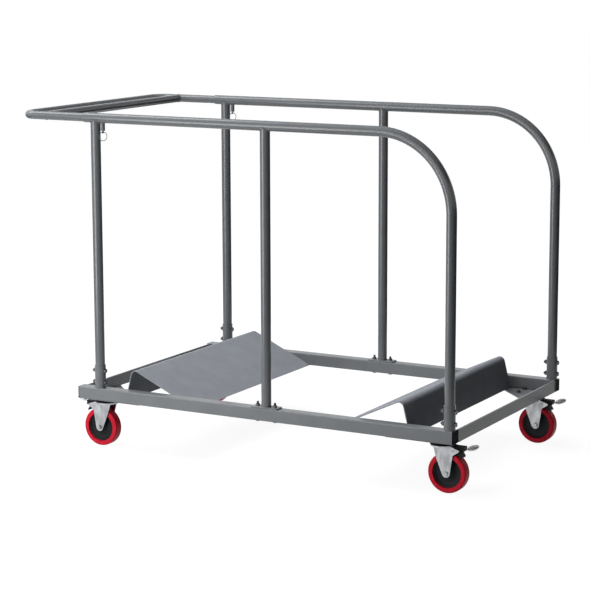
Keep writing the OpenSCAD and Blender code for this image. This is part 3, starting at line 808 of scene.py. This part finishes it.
@dataclass
class Cradles:
    """The two bent sheet plates that round tables stand on, welded to the rails at their feet."""

    plan: Plan
    shop: PaintShop
    slope_deg: float = 25.0
    steep_deg: float = 76.0
    bead: WeldBead = WeldBead(1.5)
    bead_seeds: Sequence[int] = range(60, 68)
    bead_inset_mm: float = 3.0
    edge_mm: float = 0.4

    def build(self) -> None:
        """Dresses the plates and lays their welds."""
        for name in ("cradle_plate_left", "cradle_plate_right"):
            self.shop.dress(name, Finish.CRADLE, self.edge_mm)
        self.weld_feet()

    def weld_feet(self) -> None:
        """Lays a bead along both slopes of each plate, where they run down the rails' inner faces."""
        inset, seams = self.bead_inset_mm * MM, []
        rise = self.plan.base_top_z - self.plan.base_low_z - 2 * inset
        for name, out in (("cradle_plate_left", LEFT), ("cradle_plate_right", RIGHT)):
            low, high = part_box(name)
            foot_x, heel_x = (low.x, high.x) if out == RIGHT else (high.x, low.x)
            for start_x, lean, degrees in ((foot_x, out, self.slope_deg), (heel_x, -out, self.steep_deg)):
                for side in (NEAR, FAR):
                    run = 1 / math.tan(math.radians(degrees))
                    foot = Vector((start_x + lean * inset * run, side * self.plan.inner_y, low.z + inset))
                    seams.append(line_seam(foot, foot + Vector((lean * rise * run, 0, rise))))
        piece = Piece("cradle_welds", "frame", Finish.CRADLE)
        self.bead.weld(self.shop, piece, seams, self.bead_seeds, closed=False)


@dataclass
class Uprights:
    """Posts, side rails, sockets and foot plates."""

    plan: Plan
    shop: PaintShop
    top_bead: WeldBead = WeldBead(1.7)
    top_seeds: Sequence[int] = range(30, 34)
    foot_bead: WeldBead = WeldBead(1.6)
    foot_seeds: Sequence[int] = range(40, 46)
    socket_edge_mm: float = 0.4
    foot_edge_mm: float = 0.5

    def build(self) -> None:
        """Dresses the tubes and lays the welds at their ends."""
        for side in SIDES:
            for name in ("side_rail", "left_post", "mid_post"):
                self.shop.dress(f"{name}_{side}", Finish.TUBE)
        self.shop.dress("post_sockets", Finish.TUBE, self.socket_edge_mm)
        self.shop.dress("mid_post_feet", Finish.FLAT, self.foot_edge_mm)
        self.weld_tops()
        self.weld_feet()

    def weld_tops(self) -> None:
        """Lays a saddle bead where each post meets its side rail."""
        plan, down = self.plan, Vector((0, 0, -1))
        seams = []
        for x in (plan.left_post_x, plan.mid_post_x):
            for side in (NEAR, FAR):
                centre = Vector((x, side * plan.rail_y, plan.rail_axis_z))
                seams.append(saddle_seam(centre, plan.tube_r, plan.tube_r, down, plan.tube_r / 2))
        piece = Piece("post_top_welds", "frame", Finish.TUBE)
        self.top_bead.weld(self.shop, piece, seams, self.top_seeds)

    def weld_feet(self) -> None:
        """Lays a round bead at the foot of each socket and each middle post."""
        plan = self.plan
        feet = (
            (plan.left_post_x, plan.base_top_z, plan.socket_r),
            (plan.right_post_x, plan.base_top_z, plan.socket_r),
            (plan.mid_post_x, plan.foot_top_z, plan.tube_r),
        )
        seams = [
            circle_seam(Vector((x, side * plan.rail_y, z)), radius)
            for x, z, radius in feet for side in (NEAR, FAR)
        ]
        piece = Piece("post_foot_welds", "frame", Finish.TUBE)
        self.foot_bead.weld(self.shop, piece, seams, self.foot_seeds)


@dataclass
class PushHandle:
    """The sliding handle loop and the cross bar welded between its legs."""

    plan: Plan
    shop: PaintShop
    bead: WeldBead = WeldBead(1.5)
    bead_seeds: Sequence[int] = (49, 51)
    coped_height_mm: float = 2.0

    def build(self) -> None:
        """Dresses the tubes and welds the cross bar to the legs."""
        plan, least = self.plan, self.coped_height_mm * MM
        for name in ("handle_loop", "handle_cross_bar"):
            self.shop.dress(name, Finish.TUBE)
        seams = []
        for side in (NEAR, FAR):
            centre = Vector((plan.cross_bar_x, side * plan.rail_y, plan.rail_axis_z))
            seams.append(saddle_seam(centre, plan.handle_r, plan.handle_r, Vector((0, -side, 0)), least))
        self.bead.weld(self.shop, Piece("handle_bar_welds", "handle", Finish.TUBE), seams, self.bead_seeds)


@dataclass
class HandleLock:
    """Spring plungers under the side rails, with their pull rings."""

    plan: Plan
    shop: PaintShop
    bead: WeldBead = WeldBead(1.2)
    bead_seeds: Sequence[int] = (54, 56)
    housing_edge_mm: float = 0.3
    pin_edge_mm: float = 0.2
    wire_mm: float = 1.2
    coil_turns: int = 6
    closed_pitch_mm: float = 1.25
    coil_steps: int = 28
    wire_sides: int = 10
    pin_travel_mm: float = 8.0

    def build(self) -> None:
        """Dresses the plungers and welds their housings under the rails."""
        plan, down = self.plan, Vector((0, 0, -1))
        self.shop.dress("plunger_housings", Finish.TUBE, self.housing_edge_mm)
        for side in SIDES:
            self.add_spring(side)
            self.shop.dress(f"plunger_pin_{side}", Finish.WIRE, self.pin_edge_mm)
            self.shop.dress(f"pull_ring_{side}", Finish.WIRE)
        low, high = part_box("plunger_housings")
        centre_x, housing_r = (low.x + high.x) / 2, (high.x - low.x) / 2
        seams = []
        for side in (NEAR, FAR):
            centre = Vector((centre_x, side * plan.rail_y, plan.rail_axis_z))
            seams.append(saddle_seam(centre, housing_r, plan.tube_r, down))
        self.bead.weld(self.shop, Piece("plunger_welds", "frame", Finish.TUBE), seams, self.bead_seeds)

    def add_spring(self, side: str) -> None:
        """Adds a coil spring with closed end turns.

        Args:
            side: The side rail that it is under.
        """
        low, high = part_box(f"plunger_spring_{side}")
        centre, wire_r = (low + high) / 2, self.wire_mm * MM / 2
        coil_r = (high.x - low.x) / 2 - wire_r
        closed = self.closed_pitch_mm * MM
        rise = high.z - low.z - 2 * wire_r
        open_pitch = (rise - 2 * closed) / (self.coil_turns - 2)
        rings = []
        for step in range(self.coil_turns * self.coil_steps + 1):
            done = step / self.coil_steps
            open_done = min(max(done - 1, 0), self.coil_turns - 2)
            height = low.z + wire_r + closed * (done - open_done) + open_pitch * open_done
            out = Vector((math.cos(math.tau * done), math.sin(math.tau * done), 0))
            along = Vector((-out.y, out.x, open_pitch / (math.tau * coil_r))).normalized()
            middle = Vector((centre.x, centre.y, height)) + coil_r * out
            rings.append(round_section(middle, wire_r, out, out.cross(along), self.wire_sides))
        piece = Piece(f"coil_spring_{side}", "frame", Finish.WIRE)
        piece.skin(rings)
        coil = piece.add(self.shop, [f"plunger_spring_{side}"])
        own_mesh(coil)


@dataclass(frozen=True)
class HexBolt:
    """A hexagon bolt and its nut, with chamfered corners, washer faces and a rolled thread.

    The thread is drawn as rings, because its rise in a turn is too small to see.
    """

    across_flats_mm: float = 13.0
    shank_r_mm: float = 4.0
    root_r_mm: float = 3.4
    pitch_mm: float = 1.25
    head_mm: float = 5.3
    nut_mm: float = 6.5
    washer_mm: float = 0.35
    washer_share: float = 0.95
    chamfer_deg: float = 30.0
    dish_mm: float = 0.3
    dish_share: float = 0.72
    dish_rim_share: float = 0.8
    bore_r_mm: float = 4.05
    sink_mm: float = 0.5
    sides: int = 36

    def hex_r(self, degrees: float) -> float:
        """Radius of the hexagon at an angle, with a corner at 0 degrees."""
        return self.across_flats_mm / 2 / math.cos(math.radians(degrees % 60 - 30))

    def ring(
        self, at: Matrix, height: Callable[[float], float], radius: Callable[[float], float],
    ) -> list[Vector]:
        """One ring of points round the local Z axis.

        Args:
            at: Where the fastener is, with Z along the shank.
            height: Height in millimetres at an angle in degrees.
            radius: Radius in millimetres at an angle in degrees.

        Returns:
            The points.
        """
        points = []
        for k in range(self.sides):
            degrees = 360 * k / self.sides
            turn, r = math.radians(degrees), radius(degrees)
            points.append(at @ (MM * Vector((r * math.cos(turn), r * math.sin(turn), height(degrees)))))
        return points

    def circle(self, at: Matrix, height: float, radius: float) -> list[Vector]:
        """A round ring at one height, both in millimetres."""
        return self.ring(at, lambda _: height, lambda _: radius)

    def corner_drop(self, degrees: float) -> float:
        """How far the chamfer drops at an angle, in millimetres."""
        reach = self.hex_r(degrees) - self.washer_share * self.across_flats_mm / 2
        return max(reach, 0.0) * math.tan(math.radians(self.chamfer_deg))

    def add_bolt(self, piece: Piece, at: Matrix, grip_mm: float, tail_mm: float) -> None:
        """Adds a bolt whose head seats on Z = 0 and whose shank runs up Z.

        Args:
            piece: The piece that takes it.
            at: Where it is.
            grip_mm: Distance from the head's seat to the far face of the nut.
            tail_mm: Length of thread past the nut.
        """
        half = self.across_flats_mm / 2
        rings = [
            self.circle(at, self.dish_mm - self.head_mm, self.dish_share * half),
            self.circle(at, -self.head_mm, self.dish_rim_share * half),
            self.circle(at, -self.head_mm, self.washer_share * half),
            self.ring(at, lambda a: self.corner_drop(a) - self.head_mm, self.hex_r),
            self.ring(at, lambda _: -self.washer_mm, self.hex_r),
            self.circle(at, -self.washer_mm, self.washer_share * half),
            self.circle(at, 0.0, self.washer_share * half),
            self.circle(at, 0.0, self.shank_r_mm),
        ]
        thread_start, end = grip_mm - self.nut_mm - self.pitch_mm, grip_mm + tail_mm
        count = int((end - thread_start) / self.pitch_mm) - 1
        rings.append(self.circle(at, thread_start, self.shank_r_mm))
        for k in range(count):
            foot = thread_start + k * self.pitch_mm
            rings.append(self.circle(at, foot + self.pitch_mm / 2, self.root_r_mm))
            rings.append(self.circle(at, foot + self.pitch_mm, self.shank_r_mm))
        rings.append(self.circle(at, end, self.root_r_mm))
        piece.skin(rings)

    def add_nut(self, piece: Piece, at: Matrix) -> None:
        """Adds a nut that seats on Z = 0, with both faces chamfered and its bore countersunk.

        Args:
            piece: The piece that takes it.
            at: Where it is.
        """
        half, top, sink = self.across_flats_mm / 2, self.nut_mm, self.sink_mm
        piece.skin([
            self.circle(at, 0.0, self.washer_share * half),
            self.ring(at, self.corner_drop, self.hex_r),
            self.ring(at, lambda a: top - self.corner_drop(a), self.hex_r),
            self.circle(at, top, self.washer_share * half),
            self.circle(at, top, self.bore_r_mm + sink),
            self.circle(at, top - sink, self.bore_r_mm),
            self.circle(at, sink, self.bore_r_mm),
            self.circle(at, 0.0, self.bore_r_mm + sink),
        ], closed=True)


@dataclass
class Fasteners:
    """Hex bolts and nuts of the sockets, foot plates and caster plates."""

    plan: Plan
    shop: PaintShop
    bolt: HexBolt = HexBolt()
    socket_heights_mm: tuple[float, ...] = (19.0, 57.0)
    socket_tail_mm: float = 4.0
    foot_pitch_mm: float = 62.0
    foot_tail_mm: float = 8.0
    plate_pitch_x_mm: float = 80.0
    plate_pitch_y_mm: float = 50.0
    plate_tail_mm: float = 2.0

    def build(self) -> None:
        """Builds the three groups of bolts and nuts."""
        self.build_group("socket", self.socket_places(), self.socket_tail_mm)
        self.build_group("foot", self.foot_places(), self.foot_tail_mm)
        self.build_group("caster", self.caster_places(), self.plate_tail_mm)

    def build_group(self, group: str, places: Sequence[tuple[Matrix, float]], tail_mm: float) -> None:
        """Builds the bolts and the nuts of one group, in place of its two nodes.

        Args:
            group: First word of the two nodes' names.
            places: Each bolt's seat, with Z along its shank, and the distance to its nut's seat.
            tail_mm: Length of thread past the nuts.
        """
        bolts = Piece(f"hex_{group}_bolts", "frame", Finish.BOLT)
        nuts = Piece(f"hex_{group}_nuts", "frame", Finish.BOLT)
        for at, span in places:
            self.bolt.add_bolt(bolts, at, span / MM + self.bolt.nut_mm, tail_mm)
            self.bolt.add_nut(nuts, at @ Matrix.Translation((0, 0, span)))
        bolts.add(self.shop, [f"{group}_bolts"])
        nuts.add(self.shop, [f"{group}_nuts"])

    def socket_places(self) -> list[tuple[Matrix, float]]:
        """Seats of the cross bolts: heads on the right of each socket, shanks toward -X.

        Returns:
            Each seat, and the distance to its nut's seat.
        """
        plan, places = self.plan, []
        for x in (plan.left_post_x, plan.right_post_x):
            for side in (NEAR, FAR):
                for height in self.socket_heights_mm:
                    seat = Vector((x + plan.socket_r, side * plan.rail_y, plan.base_top_z + height * MM))
                    turn = Matrix.Rotation(math.radians(-90), 4, "Y")
                    places.append((Matrix.Translation(seat) @ turn, 2 * plan.socket_r))
        return places

    def foot_places(self) -> list[tuple[Matrix, float]]:
        """Seats of the foot plate bolts: heads under the rail, shanks up.

        Returns:
            Each seat, and the distance to its nut's seat.
        """
        plan, places = self.plan, []
        for side in (NEAR, FAR):
            for way in (LEFT, RIGHT):
                x = plan.mid_post_x + way * self.foot_pitch_mm * MM / 2
                seat = Matrix.Translation((x, side * plan.rail_y, plan.base_low_z))
                places.append((seat, plan.foot_top_z - plan.base_low_z))
        return places

    def caster_places(self) -> list[tuple[Matrix, float]]:
        """Seats of the caster bolts: heads under the top plates, shanks up through the gussets.

        Returns:
            Each seat, and the distance to its nut's seat.
        """
        head_low_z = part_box("caster_bolts")[0].z
        seat_z = head_low_z + self.bolt.head_mm * MM
        places = []
        for corner in SwivelCasters.corners:
            centre = self.plan.joint_at[f"swivel_turn_{corner}"]
            for way_x in (LEFT, RIGHT):
                for way_y in (NEAR, FAR):
                    x = centre.x + way_x * self.plate_pitch_x_mm * MM / 2
                    y = centre.y + way_y * self.plate_pitch_y_mm * MM / 2
                    places.append((Matrix.Translation((x, y, seat_z)), self.plan.base_low_z - seat_z))
        return places


@dataclass(frozen=True)
class PressedPedal:
    """The brake's foot pedal: a wire stem and a dished oval leaf with a rolled rim.

    Each row of stem_rows holds a share of the stem's length, and its half width and half height in stem
    radii. The rim's section has a point at each of rim_degs.
    """

    tilt_deg: float = 13.0
    roll_deg: float = 28.0
    stem_r_mm: float = 2.3
    stem_lift: float = 1.1
    stem_sides: int = 16
    stem_rows: tuple[Point, ...] = ((0.0, 1.0, 1.0), (0.6, 1.0, 1.0), (0.85, 1.5, 0.8), (1.0, 2.2, 0.35))
    neck_mm: float = 12.0
    dish_mm: float = 4.0
    sheet_mm: float = 1.4
    rim_r_mm: float = 1.7
    rim_degs: tuple[float, ...] = (130, 90, 50, 10, -30, -70, -110)
    leaf_ratio: float = 1.42
    rings: int = 7
    sides: int = 40

    def add(self, piece: Piece, low: Vector, high: Vector, outward: int) -> None:
        """Adds a pedal that fills its node's box.

        Args:
            piece: The piece that takes it.
            low: Lowest corner of the node's box.
            high: Highest corner of the node's box.
            outward: RIGHT where the pedal points along +X, LEFT where it points along -X.
        """
        root_x, tip_x = (low.x, high.x) if outward == RIGHT else (high.x, low.x)
        tilt = math.radians(self.tilt_deg)
        stem_r = self.stem_r_mm * MM
        root = Vector((root_x, (low.y + high.y) / 2, low.z + stem_r * self.stem_lift))
        heading = Matrix.Rotation(0 if outward == RIGHT else math.pi, 4, "Z")
        at = Matrix.Translation(root) @ heading @ Matrix.Rotation(-tilt, 4, "Y")
        reach = (abs(tip_x - root_x) - stem_r * math.sin(tilt)) / math.cos(tilt)
        # The leaf starts where the box's length leaves room for the leaf's own.
        start = (high.x - low.x) - self.leaf_ratio * (high.y - low.y)
        half_b = (high.y - low.y) / 2 - self.rim_r_mm * MM
        half_a = (reach - start) / 2 - self.rim_r_mm * MM
        centre = reach - half_a - self.rim_r_mm * MM
        self.add_stem(piece, at, centre - half_a + self.neck_mm * MM / 2)
        roll = Matrix.Rotation(math.radians(self.roll_deg), 4, "X")
        self.add_leaf(piece, at @ Matrix.Translation((centre, 0, stem_r)) @ roll, half_a, half_b)

    def add_stem(self, piece: Piece, at: Matrix, length: float) -> None:
        """Adds the round stem, whose end flattens into the leaf.

        Args:
            piece: The piece that takes it.
            at: Its root, with X along it.
            length: Its length.
        """
        stem_r = self.stem_r_mm * MM
        piece.skin([
            [
                at @ Vector((share * length, wide * stem_r * math.cos(turn), tall * stem_r * math.sin(turn)))
                for turn in turns(self.stem_sides)
            ]
            for share, wide, tall in self.stem_rows
        ])

    def add_leaf(self, piece: Piece, at: Matrix, half_a: float, half_b: float) -> None:
        """Adds the dished oval leaf, upper face, rim and lower face in one skin.

        Args:
            piece: The piece that takes it.
            at: Its middle, with X along it and Z up from it.
            half_a: Half its length, without the rim.
            half_b: Half its width, without the rim.
        """
        dish, sheet, rim = self.dish_mm * MM, self.sheet_mm * MM, self.rim_r_mm * MM
        profile = [(k / self.rings, -dish * (1 - (k / self.rings) ** 2), 0.0) for k in range(1, self.rings)]
        edge = [
            (1.0, rim * math.sin(math.radians(degrees)), rim * math.cos(math.radians(degrees)))
            for degrees in self.rim_degs
        ]
        under = [(share, height - sheet, 0.0) for share, height, _ in reversed(profile)]
        rings = []
        for share, height, out in profile + edge + under:
            wide, deep = share * half_a + out, share * half_b + out
            rings.append([
                at @ Vector((wide * math.cos(turn), deep * math.sin(turn), height))
                for turn in turns(self.sides)
            ])
        piece.skin(rings)


@dataclass
class SwivelCasters:
    """The four braked swivel casters."""

    plan: Plan
    shop: PaintShop
    pedal: PressedPedal = PressedPedal()
    plate_edge_mm: float = 0.5
    fork_edge_mm: float = 0.8
    small_edge_mm: float = 0.4
    lever_edge_mm: float = 0.8
    seal_foot_mm: float = 6.8
    seal_rise_mm: float = 2.6
    seal_wall_mm: float = 1.5
    seal_lip_mm: float = 2.1
    seal_bevel_mm: float = 1.0
    seal_sides: int = 64
    corners: ClassVar[tuple[str, ...]] = ("right_near", "right_far", "left_near", "left_far")

    def build(self) -> None:
        """Dresses the casters, and builds their pedals and the seals over their ball races, whose black is
        partly painted shade.
        """
        self.shop.dress("caster_plates", Finish.TOP_PLATE, self.plate_edge_mm)
        self.shop.dress("kingpins", Finish.BOLT, self.small_edge_mm)
        self.shop.dress("swivel_balls", Finish.AXLE)
        for corner in self.corners:
            self.shop.dress(f"fork_{corner}", Finish.FORK, self.fork_edge_mm)
            self.shop.dress(f"axle_set_{corner}", Finish.AXLE, self.small_edge_mm)
            self.shop.dress(f"wheel_hub_{corner}", Finish.HUB, self.small_edge_mm)
            self.shop.dress(f"wheel_tread_{corner}", Finish.TREAD)
            self.shop.dress(f"brake_lever_{corner}", Finish.LEVER, self.lever_edge_mm)
            piece = Piece(f"foot_pedal_{corner}", f"brake_{corner}", Finish.PEDAL)
            low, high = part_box(f"brake_pedal_{corner}")
            self.pedal.add(piece, low, high, RIGHT if corner.startswith("right") else LEFT)
            piece.add(self.shop, [f"brake_pedal_{corner}"])
            self.add_seal_and_painted_shade(corner)

    def add_seal_and_painted_shade(self, corner: str) -> None:
        """Adds the ball race's black dust seal, pressed over the fork's skirt, whose black is also painted
        shade.

        Args:
            corner: The caster's corner.
        """
        low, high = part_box(f"fork_{corner}")
        centre, bevel = self.plan.joint_at[f"swivel_turn_{corner}"], self.seal_bevel_mm * MM
        inner = (high.y - low.y) / 2
        foot, top = high.z - self.seal_foot_mm * MM, high.z + self.seal_rise_mm * MM
        wall, lip = inner + self.seal_wall_mm * MM, inner + self.seal_lip_mm * MM
        section = (
            (inner, foot), (wall, foot), (wall, high.z - bevel), (lip, high.z), (lip, top - bevel),
            (lip - bevel, top), (inner - bevel, top), (inner - bevel, high.z), (inner, high.z - bevel),
        )
        # The near-black ring is partly painted shade: it stands in for the shadow between the top plate and
        # the fork.
        piece = Piece(f"race_seal_{corner}", f"swivel_{corner}", Finish.SEAL_AND_PAINTED_SHADE)
        piece.skin([
            [
                Vector((centre.x + radius * math.cos(turn), centre.y + radius * math.sin(turn), z))
                for turn in turns(self.seal_sides)
            ]
            for radius, z in section
        ], closed=True)
        piece.add(self.shop)


@dataclass(frozen=True)
class Lamp:
    """An area lamp that faces the middle of the cart.

    A lamp that isn't matt only draws its stripe in glossy surfaces, and one that isn't glossy draws none.
    """

    place: Point
    width: float
    height: float
    watts: float
    matt: bool = True
    glossy: bool = True


class Softbox(Enum):
    """Lamps of the studio."""

    KEY = Lamp((-1.15, -2.45, 0.66), 1.3, 1.28, 35.0)
    FRONT = Lamp((0.2, -2.4, 1.6), 1.8, 1.0, 9.0)
    TOP = Lamp((-1.8, -0.3, 3.9), 4.4, 4.0, 265.0, glossy=False)
    LEFT_TOP = Lamp((-2.6, -0.3, 3.4), 1.6, 2.4, 60.0, matt=False)


def seen_directly(tree: Tree) -> Socket:
    """Tells rays that look at a thing from rays that carry light to a surface.

    Args:
        tree: The node tree that needs to know.

    Returns:
        1 for rays from the camera, a glossy surface or glass, and 0 for the others.
    """
    rays = add_node(tree, "ShaderNodeLightPath").outputs
    level = rays["Is Camera Ray"]
    for ray in ("Is Glossy Ray", "Is Transmission Ray"):
        level = add_node(tree, "ShaderNodeMath", {0: level, 1: rays[ray]}, operation="MAXIMUM").outputs[0]
    return level


def level_square(half: float, height: float) -> tuple[list[Point], list[tuple[int, ...]]]:
    """Corners and face of a level square over the origin, with sides of twice half."""
    corners = [(-half, -half, height), (half, -half, height), (half, half, height), (-half, half, height)]
    return corners, [(0, 1, 2, 3)]


@dataclass
class Studio:
    """White studio: floor, flag, ceiling, lamps and the photograph's camera.

    The floor's glow runs from the first to the second level of glow, between the two distances of
    glow_reach from the origin. The flag's wall is open between the two heights of flag_gap.
    """

    azimuth_deg: float = 28.931
    elevation_deg: float = 9.950
    roll_deg: float = -0.183
    distance: float = 6.8063
    target: Point = (-0.01205, 0.0, 0.4963)
    lens_mm: float = 124.59
    sensor_mm: float = 36.0
    floor_half: float = 30.0
    floor_grey: float = 0.36
    shadow_grey: float = 0.12
    glow: Band = (0.93, 1.0)
    glow_reach: Band = (1.2, 2.6)
    ambient: float = 0.025
    flag_inner: float = 2.1
    flag_outer: float = 7.6
    flag_height: float = 8.0
    flag_gap: Band = (0.9, 4.2)
    flag_lift: float = 0.004
    flag_sides: int = 64
    cloth_grey: float = 0.02
    ceiling_glow: float = 0.4
    lamp_aim: Point = (0.0, 0.0, 0.5)

    def build(self) -> None:
        """Builds the whole studio."""
        self.build_world()
        self.build_floor()
        self.build_flag()
        self.build_ceiling()
        for box in Softbox:
            self.hang(box)
        self.build_camera()
        bpy.context.scene.view_settings.view_transform = "Standard"

    def build_world(self) -> None:
        """Builds a world that looks white and lights the cart dimly."""
        world = bpy.data.worlds.new("studio_world")
        bpy.context.scene.world = world
        world.use_nodes = True
        tree = world.node_tree
        tree.nodes.clear()
        strength = add_node(
            tree, "ShaderNodeMapRange",
            {"Value": seen_directly(tree), "To Min": self.ambient, "To Max": 1.0},
        )
        back = add_node(
            tree, "ShaderNodeBackground", {"Color": grey(1.0), "Strength": strength.outputs["Result"]},
        )
        add_node(tree, "ShaderNodeOutputWorld", {"Surface": back.outputs["Background"]})

    def stand(
        self, name: str, material: bpy.types.Material, corners: Sequence[Point],
        faces: Sequence[tuple[int, ...]],
    ) -> bpy.types.Object:
        """Builds a mesh of the stage and puts it into the scene.

        Args:
            name: Its name.
            material: Its material.
            corners: Its corners.
            faces: Its faces, each as its corners' numbers.

        Returns:
            The new object.
        """
        data = bpy.data.meshes.new(name)
        data.from_pydata(corners, [], faces)
        data.materials.append(material)
        stage = bpy.data.objects.new(name, data)
        bpy.context.scene.collection.objects.link(stage)
        return stage

    def build_floor(self) -> None:
        """Builds a white floor that keeps a faint shadow near the cart and glows white further off."""
        material, tree = new_material("white_floor")
        at = add_node(tree, "ShaderNodeTexCoord").outputs["Object"]
        reach = add_node(tree, "ShaderNodeVectorMath", {0: at}, operation="LENGTH")
        start, end = self.glow_reach
        first, last = self.glow
        level = add_node(
            tree, "ShaderNodeMapRange",
            {
                "Value": reach.outputs["Value"], "From Min": start, "From Max": end,
                "To Min": first, "To Max": last,
            },
        )
        matt = add_node(tree, "ShaderNodeBsdfDiffuse", {"Color": grey(self.floor_grey)})
        faint = add_node(tree, "ShaderNodeBsdfDiffuse", {"Color": grey(self.shadow_grey)})
        glow = add_node(
            tree, "ShaderNodeEmission", {"Color": grey(1.0), "Strength": level.outputs["Result"]},
        )
        shown = add_node(tree, "ShaderNodeAddShader", {0: faint.outputs[0], 1: glow.outputs[0]})
        mixed = add_node(
            tree, "ShaderNodeMixShader",
            {0: seen_directly(tree), 1: matt.outputs[0], 2: shown.outputs[0]},
        )
        add_node(tree, "ShaderNodeOutputMaterial", {"Surface": mixed.outputs[0]})
        self.stand("studio_floor", material, *level_square(self.floor_half, 0.0))

    def build_flag(self) -> None:
        """Stands a black flag round the cart, which only reflections see: it keeps the tubes' edges dark.

        It is a ring on the floor and a wall. A gap in the wall lets the white backdrop show in flat tops,
        as a thin light line.
        """
        gap_low, gap_high = self.flag_gap
        strips = (
            ((self.flag_inner, self.flag_lift), (self.flag_outer, self.flag_lift)),
            ((self.flag_outer, self.flag_lift), (self.flag_outer, gap_low)),
            ((self.flag_outer, gap_high), (self.flag_outer, self.flag_height)),
        )
        rows = [row for strip in strips for row in strip]
        corners, faces = [], []
        for step in range(self.flag_sides):
            for turn in (math.tau * step / self.flag_sides, math.tau * (step + 1) / self.flag_sides):
                corners += [(radius * math.sin(turn), radius * math.cos(turn), z) for radius, z in rows]
            here = 2 * len(rows) * step
            for k in range(0, len(rows), 2):
                after = here + len(rows) + k
                faces.append((here + k, here + k + 1, after + 1, after))
        material, tree = new_material("black_flag_cloth")
        cloth = add_node(tree, "ShaderNodeBsdfDiffuse", {"Color": grey(self.cloth_grey)})
        add_node(tree, "ShaderNodeOutputMaterial", {"Surface": cloth.outputs[0]})
        self.hide_but_for_gloss(self.stand("black_flag", material, corners, faces))

    def build_ceiling(self) -> None:
        """Hangs a dim ceiling over the flag, which bare metal that faces up shows."""
        material, tree = new_material("dim_ceiling_cloth")
        dim = add_node(tree, "ShaderNodeEmission", {"Color": grey(1.0), "Strength": self.ceiling_glow})
        add_node(tree, "ShaderNodeOutputMaterial", {"Surface": dim.outputs[0]})
        square = level_square(self.flag_outer, self.flag_height)
        self.hide_but_for_gloss(self.stand("dim_ceiling", material, *square))

    def hide_but_for_gloss(self, stage: bpy.types.Object) -> None:
        """Lets only reflections see an object of the stage.

        Args:
            stage: The object.
        """
        stage.visible_camera = False
        stage.visible_diffuse = False
        stage.visible_shadow = False
        stage.visible_transmission = False

    def hang(self, box: Softbox) -> None:
        """Hangs one softbox, which the camera doesn't see.

        Args:
            box: The softbox.
        """
        lamp = box.value
        name = box.name.lower() + "_softbox"
        data = bpy.data.lights.new(name, "AREA")
        data.shape = "RECTANGLE"
        data.size, data.size_y = lamp.width, lamp.height
        data.energy = lamp.watts
        hung = bpy.data.objects.new(name, data)
        bpy.context.scene.collection.objects.link(hung)
        hung.location = lamp.place
        hung.visible_camera = False
        hung.visible_diffuse = lamp.matt
        hung.visible_glossy = lamp.glossy
        aim = Vector(self.lamp_aim) - Vector(lamp.place)
        hung.rotation_euler = aim.to_track_quat("-Z", "Y").to_euler()

    def build_camera(self) -> None:
        """Sets the camera where the photograph was taken from."""
        data = bpy.data.cameras.new("photo_camera")
        data.lens = self.lens_mm
        data.sensor_width = self.sensor_mm
        camera = bpy.data.objects.new("photo_camera", data)
        bpy.context.scene.collection.objects.link(camera)
        across, up = math.radians(self.azimuth_deg), math.radians(self.elevation_deg)
        back = Vector((math.sin(across) * math.cos(up), -math.cos(across) * math.cos(up), math.sin(up)))
        camera.location = Vector(self.target) + self.distance * back
        aim = (-back).to_track_quat("-Z", "Y").to_matrix().to_4x4()
        camera.rotation_euler = (aim @ Matrix.Rotation(math.radians(self.roll_deg), 4, "Z")).to_euler()
        bpy.context.scene.camera = camera


def main() -> None:
    """Builds the cart's sub-assemblies in order, then the studio."""
    logging.basicConfig(level=logging.INFO, format="%(name)s: %(message)s")
    plan, shop = Plan.read(), PaintShop()
    for assembly in (BaseFrame, Cradles, Uprights, PushHandle, HandleLock, Fasteners, SwivelCasters):
        assembly(plan, shop).build()
        log.info("built %s", assembly.__name__)
    Studio().build()


if __name__ == "__main__":
    main()
